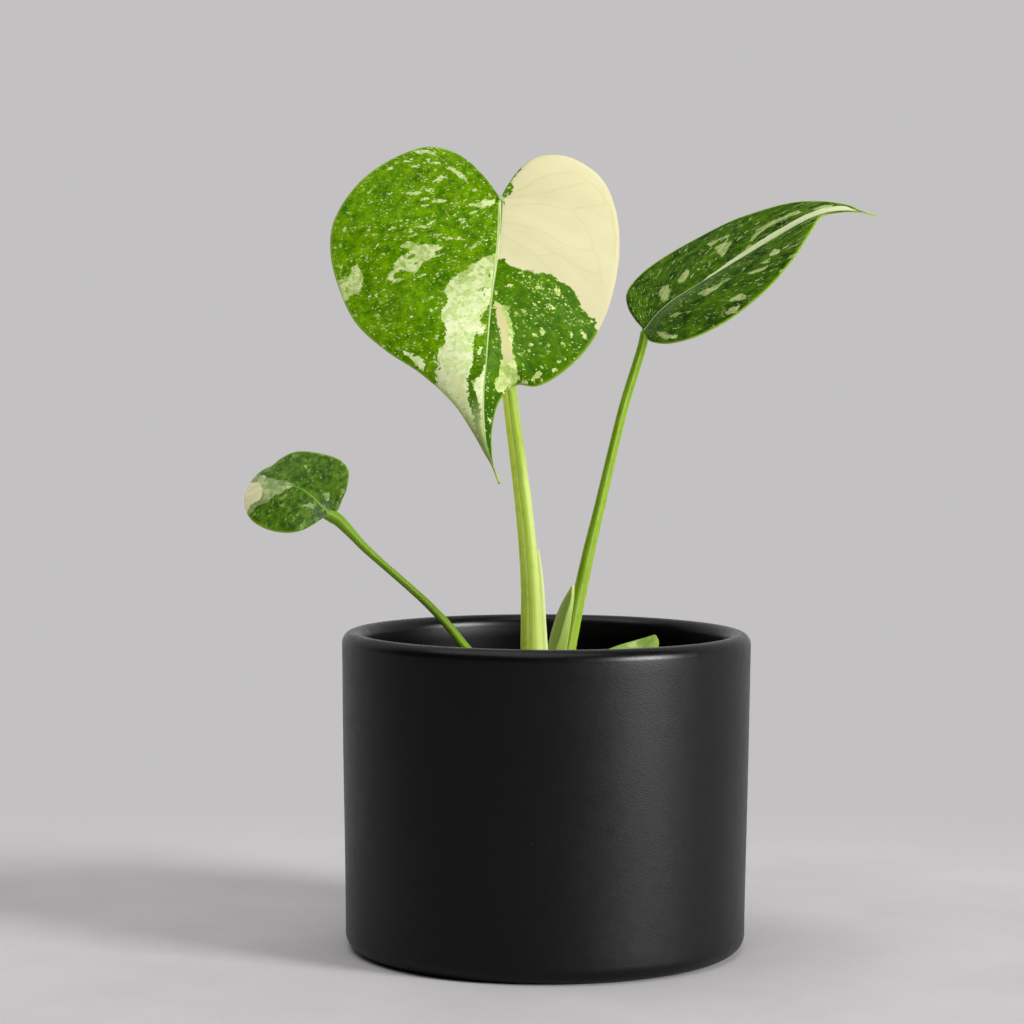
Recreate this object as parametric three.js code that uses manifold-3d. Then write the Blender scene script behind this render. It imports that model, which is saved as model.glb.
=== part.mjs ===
// A young variegated monstera with four leaves in a plain cylinder pot.
// Millimetres, +Z up. The origin is the middle of the pot's underside, where it stands.
// The front of the plant, which the leaves face, is -Y, and +X is to its right.
import * as THREE from "three";
import { mergeVertices } from "three/addons/utils/BufferGeometryUtils.js";
import Module from "manifold-3d";

const wasm = await Module();
wasm.setup();

// Clearance between pieces that touch
const GAP = 0.3;

// Pot
const POT_HEIGHT = 101;
const POT_RIM_RADIUS = 65;
const POT_BASE_RADIUS = 63.5;
const POT_WALL = 7.2;
const POT_FLOOR = 8;
const POT_FOOT_ROUND = 5.3;
const POT_INSIDE_ROUND = 6;
const POT_SEGMENTS = 80;
const ARC_STEPS = 5;

// Potting mix
const SOIL_TOP = 75;
const SOIL_MOUND = 2.5;
const SOIL_MOUND_WIDTH = 26;
const SOIL_LUMP = 0.7;
const SOIL_RINGS = 9;
const SOIL_SEGMENTS = 40;

// Short stem under the leaves, and its roots
const STEM_CENTRE = [-1, 2.5];
const STEM_HALF_WIDTH = 10;
const STEM_HALF_DEPTH = 7.5;
const STEM_TOP = 80;
const STEM_BOTTOM = 55;
const STEM_SEGMENTS = 24;
const STEM_RING_PITCH = 5;
const STEM_RING_DEPTH = 0.5;
const ROOT_COUNT = 7;
const ROOT_START = 4;
const ROOT_REACH = 44;
const ROOT_DEPTH = 38;
const ROOT_RADIUS = 1.7;
const ROOT_TIP_RADIUS = 0.6;
const ROOT_WANDER = 5;
const ROOT_STEPS = 8;
const ROOT_SIDES = 5;

// Leaf blades
const BLADE_THICKNESS = 0.8;
const KEEL_HEIGHT = 0.7;
const KEEL_WIDTH = 2;
const ROW_EASE = 1.5;

// Leaf stalks
const STALK_SIDES = 10;
const SHEATH_THICKNESS = 0.9;

const vector = ([x, y, z]) => new THREE.Vector3(x, y, z);
const smoothCurve = (points) => new THREE.CatmullRomCurve3(points.map(vector), false, "centripetal");

// Each blade is drawn in a frame of its own: y runs from the stalk's end to the tip,
// z stands off the upper face, and x points right as that face is seen with its tip up.
// left, right and midrib are points along the two margins and the rib. fan is the share
// of each margin that is reached straight from the stalk, which is the round lobe.
const LEAVES = {
  main: {
    junction: [-15, -6, 237.2],
    toTip: [0, -0.342, -0.94],
    face: [0, -0.94, 0.342],
    rows: 42,
    across: 5,
    billow: 1.8,
    fan: { left: 0.3, right: 0.36 },
    midrib: [
      [0, 0, 0], [0.2, 9.3, 1.9], [0.9, 19.8, 3.1], [2.2, 31.7, 3.7], [3.2, 43, 3.3],
      [4, 55.5, 1.6], [4.7, 65.5, -0.9], [4.3, 75.5, -4.3], [3.1, 81, -6.8], [1.5, 85.3, -8.5],
      [-0.3, 90.4, -9.9],
    ],
    right: [
      [1, -0.5, -0.1], [4.2, -5.8, -0.6], [12, -15.4, -2.5], [22.4, -19.9, -4.3], [33.4, -16.8, -5.4],
      [44.7, -8.4, -5.9], [52.7, 5.3, -5.9], [53.4, 15.6, -5.4], [50.7, 27.2, -4.9],
      [44.8, 39.8, -4.4], [35.2, 49, -4.4], [24.2, 56.5, -4.4], [14.2, 66, -4.4],
      [8.2, 74.6, -5.8], [3.8, 82.2, -8.3], [1.8, 86, -9.2], [0.1, 90.4, -10],
    ],
    left: [
      [-1.5, -0.5, -0.1], [-3.3, -6.8, -1], [-6.8, -12.4, -2.4], [-12.3, -16.4, -3.6],
      [-20.8, -16.8, -4.5], [-31.1, -10.6, -5.9], [-35.6, -1.4, -6.4],
      [-37.4, 10.8, -6.4], [-36.2, 24.3, -6.4], [-32.8, 36.6, -7.4], [-27.6, 45.7, -8.9],
      [-19.5, 53.8, -10.3], [-11.7, 58.3, -10.3], [-5.2, 58.7, -8.5], [-0.5, 63.4, -7.7],
      [2.2, 73.5, -8.1], [1.9, 82, -9.3], [0.9, 86, -9.8], [-0.7, 90.3, -10.1],
    ],
  },
  right: {
    junction: [31, 6, 196.6],
    toTip: [0.891, 0.073, 0.448],
    face: [-0.331, -0.573, 0.75],
    rows: 32,
    across: 4,
    billow: 1,
    fan: { left: 0.28, right: 0.2 },
    midrib: [
      [0, 0, 0.3], [-1.7, 5, 2.1], [-3.1, 12, 3.4], [-4.3, 24, 3.9], [-5.5, 36.5, 4.5],
      [-6.3, 51.6, 5.1], [-6.3, 66.8, 5.2], [-5.3, 73.2, 3.8], [-3.3, 78.3, 2.1], [0, 82.5, 0],
    ],
    left: [
      [-2.1, -0.4, 0.3], [-6.3, -1, 1.8], [-12.6, -0.7, 2.2], [-19, 1.4, 3], [-24.7, 9, 3.2],
      [-27.5, 21.5, 3.5], [-27.9, 33.6, 3.9], [-25.8, 48.7, 4.5], [-20.8, 62.6, 4.4],
      [-13.7, 71.5, 4.2], [-7.7, 77.4, 2.4], [-3.7, 80, 1.1], [-0.5, 82.8, -0.1],
    ],
    right: [
      [1.6, -0.6, 0.3], [5.7, -1, 0.4], [11.1, 0.2, 1.7], [15.8, 3.9, 2.4], [19.7, 11, 3.1],
      [21, 21.9, 4.2], [18.8, 36.6, 5.9], [12.6, 49.4, 7.5], [5.9, 57.1, 7.5],
      [0.4, 62.8, 7.3], [-4.3, 66.9, 5.9], [-5, 70.5, 4.8], [-4, 74.4, 3.6],
      [-2.2, 78.6, 2], [0.4, 82.3, 0],
    ],
  },
  left: {
    junction: [-71, 34, 136],
    toTip: [-0.979, 0.034, 0.202],
    face: [0.091, -0.812, 0.576],
    rows: 22,
    across: 4,
    billow: 1,
    fan: { left: 0.22, right: 0.3 },
    midrib: [
      [0, 0, 0], [0.8, 3, 2], [3.4, 9, 4.6], [4.2, 15, 5.6], [3.2, 22.9, 4.2], [0, 29.1, -0.1],
    ],
    right: [
      [0.6, -1.2, 0.1], [2.3, -2, 0.6], [5.4, -2.3, 1.3], [10.5, -2.9, 2.5], [16.4, -1.9, 3],
      [19.6, 1.7, 3.1], [21.1, 9.5, 2], [19.7, 16.6, 0.7], [17.2, 21.2, -0.3], [14.3, 23.4, -0.8],
      [11.4, 26.1, -0.6], [7.9, 28, -0.6], [3.8, 29, -0.4], [0.4, 29.3, -0.3],
    ],
    left: [
      [-0.9, 0.2, 0.1], [-2.6, 3, 0.7], [-5, 4.5, 0.9], [-8.4, 7.2, 0.8], [-11.2, 11.9, 1.1],
      [-11.6, 18.5, 1.1], [-9.6, 24, 0.9], [-5.5, 27.4, -0.1], [-0.5, 29.2, -0.3],
    ],
  },
  low: {
    junction: [15, 9, 85.5],
    toTip: [0.797, 0.33, 0.505],
    face: [-0.242, -0.593, 0.768],
    rows: 14,
    across: 3,
    billow: 0.4,
    fan: { left: 0.25, right: 0.25 },
    midrib: [[0, 0, 0], [0.6, 6, 0.3], [1, 12, -0.4], [0.9, 18.3, -1], [0, 25.4, -0.3]],
    left: [
      [-0.8, -0.5, 0.1], [-2.4, -1.2, 0.5], [-4.6, 0.2, 0.8], [-6, 4.5, 0.8],
      [-6.3, 10.5, 0], [-5.6, 16.5, -1.3], [-3.8, 21.7, -1.8], [-0.6, 25.2, -0.4],
    ],
    right: [
      [0.8, -0.5, 0.1], [2.6, -1.4, 0.6], [5.6, -0.4, 1.2], [8.4, 4.5, 1.4],
      [9.2, 11, 1.1], [8.4, 17.2, 0.6], [6.1, 22, 0.1], [3.4, 24.4, 0], [0.6, 25.4, -0.2],
    ],
  },
};

// Each stalk is a smooth curve from the stem up to its blade, with its radii spread
// evenly along it. The sheath, where it has one, is the thin wing along the stalk's
// foot: root is the line where it grows from the stalk, and edge is its free edge.
const STALKS = {
  main: {
    steps: 40,
    points: [
      [-4.2, -0.6, 79.5], [-4.4, -0.8, 87], [-4.7, -1, 97], [-4.9, -0.8, 108], [-5.4, -0.3, 120],
      [-6.6, 0.5, 133], [-8.6, 2, 150], [-11.7, 4, 173], [-13.7, 5.4, 190], [-15.2, 6.2, 210],
      [-15.8, 5, 222], [-15.8, 2, 230], [-15.4, -2, 234.6], [-15, -4.6, 236.3],
    ],
    radii: [3.9, 3.55, 3.15, 2.85, 2.65, 2.5, 2.35, 2.2, 2.05, 1.9, 1.7],
    sheath: {
      root: [[-3, 0.6, 80.6], [-3.2, 0.4, 91], [-3.4, 0.4, 104], [-4, 0.6, 117], [-4.4, 0.4, 126.6]],
      edge: [[1.6, 2.2, 80.6], [0.8, 1.6, 91], [-0.1, 1.2, 104], [-1, 0.8, 117], [-2.5, 0.2, 127.6]],
    },
  },
  right: {
    steps: 34,
    points: [
      [5.2, 3.3, 79.5], [6.2, 3.6, 89], [7.6, 4, 98], [10.7, 5, 113], [13.7, 6, 127], [16.5, 7, 138.6],
      [19.1, 8, 150], [24.6, 8.6, 173], [28.1, 8.8, 184.6], [30.2, 8.5, 191.8], [30.9, 6.9, 195.6],
    ],
    radii: [2.8, 2.5, 2.25, 2.05, 1.85, 1.7, 1.6, 1.55, 1.5, 1.45],
    sheath: {
      root: [[5, 3.8, 80.6], [6, 4, 89], [7.2, 4.6, 97], [9.2, 5.2, 106], [10.6, 5.6, 114]],
      edge: [[-1.4, 7.6, 80.6], [-0.4, 9.4, 88], [1, 11, 97], [4, 10.6, 107], [8.2, 7.8, 115.2]],
    },
  },
  left: {
    steps: 26,
    points: [
      [-8.5, 4, 73], [-12, 4.8, 78.4], [-17, 5.8, 84.4], [-22.2, 6.8, 90.6], [-26.4, 7.6, 95.4],
      [-31, 11, 100.8], [-38, 16.5, 107.6], [-46, 22, 114.2], [-55, 27, 121.4],
      [-60.6, 30.2, 126.2], [-65.6, 33.2, 131.2], [-68.6, 34.4, 134], [-70.6, 34.9, 135.2],
    ],
    radii: [2.1, 1.9, 1.6, 1.4, 1.3, 1.25, 1.2, 1.2, 1.4],
  },
  low: {
    steps: 10,
    points: [[6, 5.5, 71], [8.6, 7, 75.6], [11.8, 8.6, 80.4], [15, 9.6, 84.2]],
    radii: [1.6, 1.3, 1],
  },
};

// Finishes
const finish = (color, roughness) => new THREE.MeshStandardMaterial({ color, roughness, metalness: 0 });
const CERAMIC = finish(0x26262a, 0.5);
const MIX = finish(0x3b2c20, 0.95);
const STEM = finish(0x8a9440, 0.6);
const STALK = finish(0xa9c24a, 0.45);
const BLADE = finish(0x5c9112, 0.4);

function geometryOf(positions, triangles) {
  const geometry = new THREE.BufferGeometry();
  geometry.setAttribute("position", new THREE.Float32BufferAttribute(positions, 3));
  geometry.setIndex(triangles);
  return geometry;
}

// Booleans
function solidOf(geometry) {
  const bare = geometry.clone();
  bare.deleteAttribute("normal");
  bare.deleteAttribute("uv");
  const merged = mergeVertices(bare, 1e-4);
  const mesh = new wasm.Mesh({
    numProp: 3,
    vertProperties: merged.attributes.position.array,
    triVerts: Uint32Array.from(merged.index.array),
  });
  return new wasm.Manifold(mesh);
}

function geometryFrom(solid) {
  const { vertProperties, triVerts } = solid.getMesh();
  return geometryOf(Array.from(vertProperties), Array.from(triVerts));
}

// A solid turned about +Z from a profile that starts and ends on the axis
function turned(profile, segments) {
  return new THREE.LatheGeometry(profile, segments).rotateX(Math.PI / 2);
}

function arc(cx, cy, radius, from, to) {
  const points = [];
  for (let i = 0; i <= ARC_STEPS; i++) {
    const angle = THREE.MathUtils.degToRad(from + ((to - from) * i) / ARC_STEPS);
    points.push(new THREE.Vector2(cx + radius * Math.cos(angle), cy + radius * Math.sin(angle)));
  }
  return points;
}

const wallRadius = (z) => THREE.MathUtils.mapLinear(z, 0, POT_HEIGHT, POT_BASE_RADIUS, POT_RIM_RADIUS);

function potGeometry() {
  const lip = POT_WALL / 2;
  const lipHeight = POT_HEIGHT - lip;
  const insideFoot = POT_FLOOR + POT_INSIDE_ROUND;
  const profile = [
    new THREE.Vector2(0, 0),
    ...arc(wallRadius(POT_FOOT_ROUND) - POT_FOOT_ROUND, POT_FOOT_ROUND, POT_FOOT_ROUND, -90, 0),
    ...arc(wallRadius(lipHeight) - lip, lipHeight, lip, 0, 180),
    ...arc(wallRadius(insideFoot) - POT_WALL - POT_INSIDE_ROUND, insideFoot, POT_INSIDE_ROUND, 0, -90),
    new THREE.Vector2(0, POT_FLOOR),
  ];
  return turned(profile, POT_SEGMENTS);
}

// Height of the mix: a low mound round the stem, with lumps of two sizes on it
function soilHeight(x, y) {
  const fromStem = Math.hypot(x - STEM_CENTRE[0], y - STEM_CENTRE[1]);
  const mound = SOIL_MOUND * Math.exp(-((fromStem / SOIL_MOUND_WIDTH) ** 2));
  const broad = Math.sin(0.19 * x + 1.3) * Math.cos(0.23 * y - 0.4);
  const fine = Math.sin(0.61 * x - 0.7 * y) * Math.cos(0.53 * y + 0.31 * x + 2);
  return SOIL_TOP + mound + SOIL_LUMP * (broad + 0.6 * fine);
}

function soilGeometry() {
  const inside = (z) => wallRadius(z) - POT_WALL - GAP;
  const bottom = POT_FLOOR + GAP;
  const foot = bottom + POT_INSIDE_ROUND;
  const rim = inside(SOIL_TOP);
  const profile = [
    new THREE.Vector2(0, bottom),
    ...arc(inside(foot) - POT_INSIDE_ROUND, foot, POT_INSIDE_ROUND, -90, 0),
  ];
  for (let ring = SOIL_RINGS; ring >= 0; ring--) {
    profile.push(new THREE.Vector2((rim * ring) / SOIL_RINGS, SOIL_TOP));
  }
  const geometry = turned(profile, SOIL_SEGMENTS);
  const place = geometry.attributes.position;
  for (let i = 0; i < place.count; i++) {
    if (place.getZ(i) > SOIL_TOP - 1) {
      place.setZ(i, soilHeight(place.getX(i), place.getY(i)));
    }
  }
  return geometry;
}

// A closed tube along a curve, with its radii spread evenly from start to end
function tubeGeometry(points, radii, sides, steps) {
  const curve = smoothCurve(points);
  const frames = curve.computeFrenetFrames(steps);
  const positions = [];
  const triangles = [];
  for (let i = 0; i <= steps; i++) {
    const centre = curve.getPointAt(i / steps);
    const place = (i / steps) * (radii.length - 1);
    const before = Math.min(Math.floor(place), radii.length - 2);
    const radius = THREE.MathUtils.lerp(radii[before], radii[before + 1], place - before);
    for (let j = 0; j < sides; j++) {
      const angle = (2 * Math.PI * j) / sides;
      const spot = centre
        .clone()
        .addScaledVector(frames.normals[i], radius * Math.cos(angle))
        .addScaledVector(frames.binormals[i], radius * Math.sin(angle));
      positions.push(...spot);
    }
  }
  for (let i = 0; i < steps; i++) {
    for (let j = 0; j < sides; j++) {
      const a = i * sides + j;
      const b = i * sides + ((j + 1) % sides);
      triangles.push(a, b, b + sides, a, b + sides, a + sides);
    }
  }
  for (let j = 1; j < sides - 1; j++) {
    const last = steps * sides;
    triangles.push(0, j + 1, j);
    triangles.push(last, last + j, last + j + 1);
  }
  return geometryOf(positions, triangles);
}

// A thin closed sheet grown from an open surface: both faces have the same triangles,
// above and below hold each vertex's distance to them, and a strip closes the edge.
function thickened(surface, above, below) {
  surface.computeVertexNormals();
  const { position, normal } = surface.attributes;
  const index = Array.from(surface.index.array);
  const count = position.count;
  const positions = [];
  for (const [side, distance] of [[1, above], [-1, below]]) {
    for (let i = 0; i < count; i++) {
      const spot = new THREE.Vector3().fromBufferAttribute(position, i);
      const out = new THREE.Vector3().fromBufferAttribute(normal, i);
      positions.push(...spot.addScaledVector(out, side * distance(i)));
    }
  }
  const triangles = [...index];
  const open = new Map();
  for (let i = 0; i < index.length; i += 3) {
    const [a, b, c] = index.slice(i, i + 3);
    triangles.push(a + count, c + count, b + count);
    for (const [from, to] of [[a, b], [b, c], [c, a]]) {
      if (!open.delete(`${to} ${from}`)) {
        open.set(`${from} ${to}`, [from, to]);
      }
    }
  }
  for (const [from, to] of open.values()) {
    triangles.push(to, from, from + count, to, from + count, to + count);
  }
  return geometryOf(positions, triangles);
}

// The open middle surface of a blade, and each vertex's distance from the midrib
function bladeSurface(leaf) {
  const rib = smoothCurve(leaf.midrib);
  const positions = [];
  const triangles = [];
  const fromRib = [];
  const addVertex = (spot, distance) => {
    positions.push(...spot);
    fromRib.push(distance);
    return fromRib.length - 1;
  };
  const lobeRows = Math.round(leaf.rows / 3);
  const ribAt = (row) => Math.max(0, (row - lobeRows) / (leaf.rows - lobeRows));
  const spine = [];
  for (let row = 0; row <= leaf.rows; row++) {
    const inLobe = row > 0 && row <= lobeRows;
    spine.push(inLobe ? spine[0] : addVertex(rib.getPointAt(ribAt(row) ** ROW_EASE), 0));
  }
  for (const side of ["left", "right"]) {
    const margin = smoothCurve(leaf[side]);
    const fan = leaf.fan[side];
    let lastRow = null;
    for (let row = 0; row <= leaf.rows; row++) {
      const share = row < lobeRows ? (fan * row) / lobeRows : fan + (1 - fan) * ribAt(row);
      const inner = rib.getPointAt(ribAt(row) ** ROW_EASE);
      const outer = margin.getPointAt(share);
      const thisRow = [spine[row]];
      for (let j = 1; j <= leaf.across; j++) {
        const part = j / leaf.across;
        const spot = inner.clone().lerp(outer, part);
        const width = inner.distanceTo(outer);
        const lift = Math.min(leaf.billow, width / 12);
        spot.z += lift * 4 * part * (1 - part);
        thisRow.push(addVertex(spot, width * part));
      }
      if (lastRow) {
        for (let j = 0; j < leaf.across; j++) {
          const quad = [lastRow[j], lastRow[j + 1], thisRow[j + 1], thisRow[j]];
          if (side === "left") {
            quad.reverse();
          }
          const [a, b, c, d] = quad;
          triangles.push(...(a === b || b === c ? [] : [a, b, c]));
          triangles.push(...(c === d || d === a ? [] : [a, c, d]));
        }
      }
      lastRow = thisRow;
    }
  }
  return { surface: geometryOf(positions, triangles), fromRib };
}

// A blade, or with spare a copy that stands that much off both faces, to cut with
function bladeGeometry(leaf, spare = 0) {
  const { surface, fromRib } = bladeSurface(leaf);
  const half = BLADE_THICKNESS / 2 + spare;
  const keel = (i) => KEEL_HEIGHT * Math.max(0, 1 - fromRib[i] / KEEL_WIDTH);
  return thickened(surface, () => half, (i) => half + keel(i));
}

function leafMatrix(leaf) {
  const z = vector(leaf.face).normalize();
  const y = vector(leaf.toTip);
  y.addScaledVector(z, -y.dot(z)).normalize();
  const x = new THREE.Vector3().crossVectors(y, z);
  return new THREE.Matrix4().makeBasis(x, y, z).setPosition(vector(leaf.junction));
}

// The wing of a sheath: a thin sheet between its root line and its free edge
function sheathGeometry({ root, edge }, spare, across = 3, along = 14) {
  const from = smoothCurve(root);
  const to = smoothCurve(edge);
  const positions = [];
  const triangles = [];
  for (let i = 0; i <= along; i++) {
    for (let j = 0; j <= across; j++) {
      positions.push(...from.getPointAt(i / along).lerp(to.getPointAt(i / along), j / across));
    }
  }
  for (let i = 0; i < along; i++) {
    for (let j = 0; j < across; j++) {
      const a = i * (across + 1) + j;
      const b = a + across + 1;
      triangles.push(a, a + 1, b + 1, a, b + 1, b);
    }
  }
  const half = () => SHEATH_THICKNESS / 2 + spare;
  return thickened(geometryOf(positions, triangles), half, half);
}

// The short ringed stem under the leaves, with spare added all round
function stemSolid(spare) {
  const profile = [new THREE.Vector2(0, STEM_BOTTOM - spare)];
  const steps = 16;
  for (let i = 0; i <= steps; i++) {
    const z = THREE.MathUtils.lerp(STEM_BOTTOM, STEM_TOP, i / steps);
    const end = Math.min(1, (STEM_TOP - z) / 4 + 0.25, (z - STEM_BOTTOM) / 8 + 0.5);
    const ring = STEM_RING_DEPTH * Math.cos((2 * Math.PI * (STEM_TOP - z)) / STEM_RING_PITCH);
    const lift = i === 0 ? -spare : i === steps ? spare : 0;
    profile.push(new THREE.Vector2(STEM_HALF_WIDTH * Math.sqrt(end) + ring + spare, z + lift));
  }
  profile.push(new THREE.Vector2(0, STEM_TOP + spare));
  const geometry = turned(profile, STEM_SEGMENTS);
  geometry.scale(1, (STEM_HALF_DEPTH + spare) / (STEM_HALF_WIDTH + spare), 1);
  geometry.translate(...STEM_CENTRE, 0);
  return solidOf(geometry);
}

function rootPoints(number) {
  const heading = (2 * Math.PI * (number + 0.35 * Math.sin(3 * number))) / ROOT_COUNT;
  const reach = ROOT_REACH * (0.75 + 0.25 * Math.cos(2.3 * number));
  const points = [];
  for (let i = 0; i <= 5; i++) {
    const out = i / 5;
    const radius = THREE.MathUtils.lerp(ROOT_START, reach, out);
    const sway = (ROOT_WANDER / reach) * Math.sin(4 * out + number);
    const z = STEM_BOTTOM + 6 - ROOT_DEPTH * out ** 1.4;
    const x = STEM_CENTRE[0] + radius * Math.cos(heading + sway);
    points.push([x, STEM_CENTRE[1] + radius * Math.sin(heading + sway), z]);
  }
  return points;
}

// Stem and roots, with spare added all round
function plantFootSolid(spare) {
  let solid = stemSolid(spare);
  for (let number = 0; number < ROOT_COUNT; number++) {
    const radii = [ROOT_RADIUS + spare, ROOT_TIP_RADIUS + spare];
    solid = solid.add(solidOf(tubeGeometry(rootPoints(number), radii, ROOT_SIDES, ROOT_STEPS)));
  }
  return solid;
}

const plant = new THREE.Group();

function addPiece(name, geometry, material) {
  const mesh = new THREE.Mesh(geometry, material);
  mesh.name = name;
  plant.add(mesh);
  return mesh;
}

function addBlade(name) {
  const blade = addPiece(`${name}_leaf_blade`, bladeGeometry(LEAVES[name]), BLADE);
  blade.applyMatrix4(leafMatrix(LEAVES[name]));
}

// A whole stalk with its sheath, with spare added all round
function wholeStalkSolid(name, spare) {
  const { points, radii, steps, sheath } = STALKS[name];
  const wide = radii.map((radius) => radius + spare);
  const tube = solidOf(tubeGeometry(points, wide, STALK_SIDES, steps));
  return sheath ? tube.add(solidOf(sheathGeometry(sheath, spare))) : tube;
}

// A stalk as it is seen: it ends just short of its blade and of the stem
function stalkSolid(name) {
  const blade = bladeGeometry(LEAVES[name], GAP).applyMatrix4(leafMatrix(LEAVES[name]));
  return wholeStalkSolid(name, 0).subtract(solidOf(blade)).subtract(plantFootSolid(GAP));
}

// The mix, with a plain hole for the stem and its roots and for each stalk
function soilSolid() {
  let solid = solidOf(soilGeometry()).subtract(plantFootSolid(GAP));
  for (const name of Object.keys(STALKS)) {
    solid = solid.subtract(wholeStalkSolid(name, GAP));
  }
  return solid;
}

addPiece("pot", potGeometry(), CERAMIC);
addPiece("potting_mix", geometryFrom(soilSolid()), MIX);
addPiece("stem_and_roots", geometryFrom(plantFootSolid(0)), STEM);
for (const name of Object.keys(LEAVES)) {
  addBlade(name);
  addPiece(`${name}_leaf_stalk`, geometryFrom(stalkSolid(name)), STALK);
}

export default plant;
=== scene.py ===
# Finish of the potted variegated monstera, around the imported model.
# Lengths are in millimetres until a mesh is made, and in metres for the stage.

import math

import bmesh
import bpy
import numpy as np
from mathutils import Matrix, Vector


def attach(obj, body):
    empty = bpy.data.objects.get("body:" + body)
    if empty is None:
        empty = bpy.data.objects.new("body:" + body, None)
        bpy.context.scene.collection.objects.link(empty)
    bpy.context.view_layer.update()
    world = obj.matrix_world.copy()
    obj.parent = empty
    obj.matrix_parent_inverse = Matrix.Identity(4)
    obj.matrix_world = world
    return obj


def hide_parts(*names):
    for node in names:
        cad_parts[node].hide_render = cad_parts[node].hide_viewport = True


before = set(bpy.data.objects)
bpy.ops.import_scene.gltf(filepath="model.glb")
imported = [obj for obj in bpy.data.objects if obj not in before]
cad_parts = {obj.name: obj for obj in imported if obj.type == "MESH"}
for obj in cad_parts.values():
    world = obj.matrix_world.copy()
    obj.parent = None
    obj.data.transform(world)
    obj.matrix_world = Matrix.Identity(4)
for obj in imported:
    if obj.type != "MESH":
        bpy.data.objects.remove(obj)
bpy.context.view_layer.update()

MM = 0.001
RNG = np.random.default_rng(7)

# Pot
POT_HEIGHT = 101
POT_RIM_RADIUS = 65
POT_BASE_RADIUS = 63.5
POT_WALL = 7.2
POT_FLOOR = 8
POT_FOOT_ROUND = 5.3
POT_INSIDE_ROUND = 6
POT_SEGMENTS = 288

# Potting mix and the stem that stands in it
SOIL_TOP = 75
SOIL_MOUND = 2.5
SOIL_MOUND_WIDTH = 26
SOIL_LUMP = 0.7
MIX_GAP = 0.3
MIX_RINGS = 75
MIX_SEGMENTS = 240
LUMP_REACH = 55
FIBRE_REACH = 50
STEM_CENTRE = (-1, 2.5)
STEM_HALF_WIDTH = 10
STEM_HALF_DEPTH = 7.5
STEM_TOP = 80
STEM_BOTTOM = 55
STEM_CROWN = 0.25
STEM_RING_PITCH = 5
STEM_RING_DEPTH = 0.5
STEM_STEPS = 64
STEM_SIDES = 72
ROOT_COUNT = 7
ROOT_START = 4
ROOT_REACH = 44
ROOT_DEPTH = 38
ROOT_RADIUS = 1.7
ROOT_TIP_RADIUS = 0.6
ROOT_WANDER = 5

# Where no crumb lies, as (x, y, half width, half depth): the stem and the feet of the left and low stalks
KEEP_CLEAR = [STEM_CENTRE + (STEM_HALF_WIDTH, STEM_HALF_DEPTH), (-11, 4.6, 4, 4), (9, 7, 2.5, 2.5)]

# Blades: half the thickness inside and at the margin, and the rib under the blade
BLADE_HALF = 0.24
MARGIN_HALF = 0.1
KEEL_HEIGHT = 0.8
KEEL_WIDTH = 1.5
KEEL_TAPER = 0.75
QUILT_DEPTH = 0.05
SWELL_HEIGHT = 0.22
GROOVE_DEPTH = 0.16
RIB_RISE = 0.12
ROW_EASE = 1.5

# How far the side veins of the lobes turn back past the stalk's end, as a share of the rib
LOBE_TURN = 0.32

# The farthest distance from a drawn line that counts
FIELD_REACH = 4.0

# The cells of a leaf's tissue: how much longer they are across the leaf than along it, their three
# sizes, the share of each size that is pale, and the width of their borders
CELL_SHAPE = 1.5
CELL_SIZES = (0.36, 0.7, 1.5)
CELL_COVERS = (0.062, 0.03, 0.005)
CELL_BORDERS = (0.03, 0.05, 0.08)

# Where the lower side of a blade or sheath lies in the uv map, off the upper side
LOWER_SIDE_UV = (0.5, 0)

# The rings of a stalk's tail, and how far each colour of light spreads inside a stalk
TAIL_RINGS = 16
GLOW_COLOUR = (0.9, 1.0, 0.3)

# Stage
SURROUND_GREY = (194, 192, 193)
FLOOR_HALF = 7
SURROUND_RADIUS = 6.5
SURROUND_SINK = 0.5
SURROUND_STEPS = 24
SURROUND_SIDES = 48
BOUNCE_START = 0.3
BOUNCE_BEND = 0.22
BOUNCE_HEIGHT = 2.2
BOUNCE_HALF = 2.6
BOUNCE_STEPS = 16
LIT_PLACE = (0, 0, 0.12)
CAMERA_PLACE = (0, -0.9507, 0.1887)
CAMERA_PAN = math.radians(-0.668)
CAMERA_PITCH = math.radians(3.004)
CAMERA_ROLL = math.radians(0.245)
CAMERA_LENS = 105.42
CAMERA_SENSOR = 36

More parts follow.
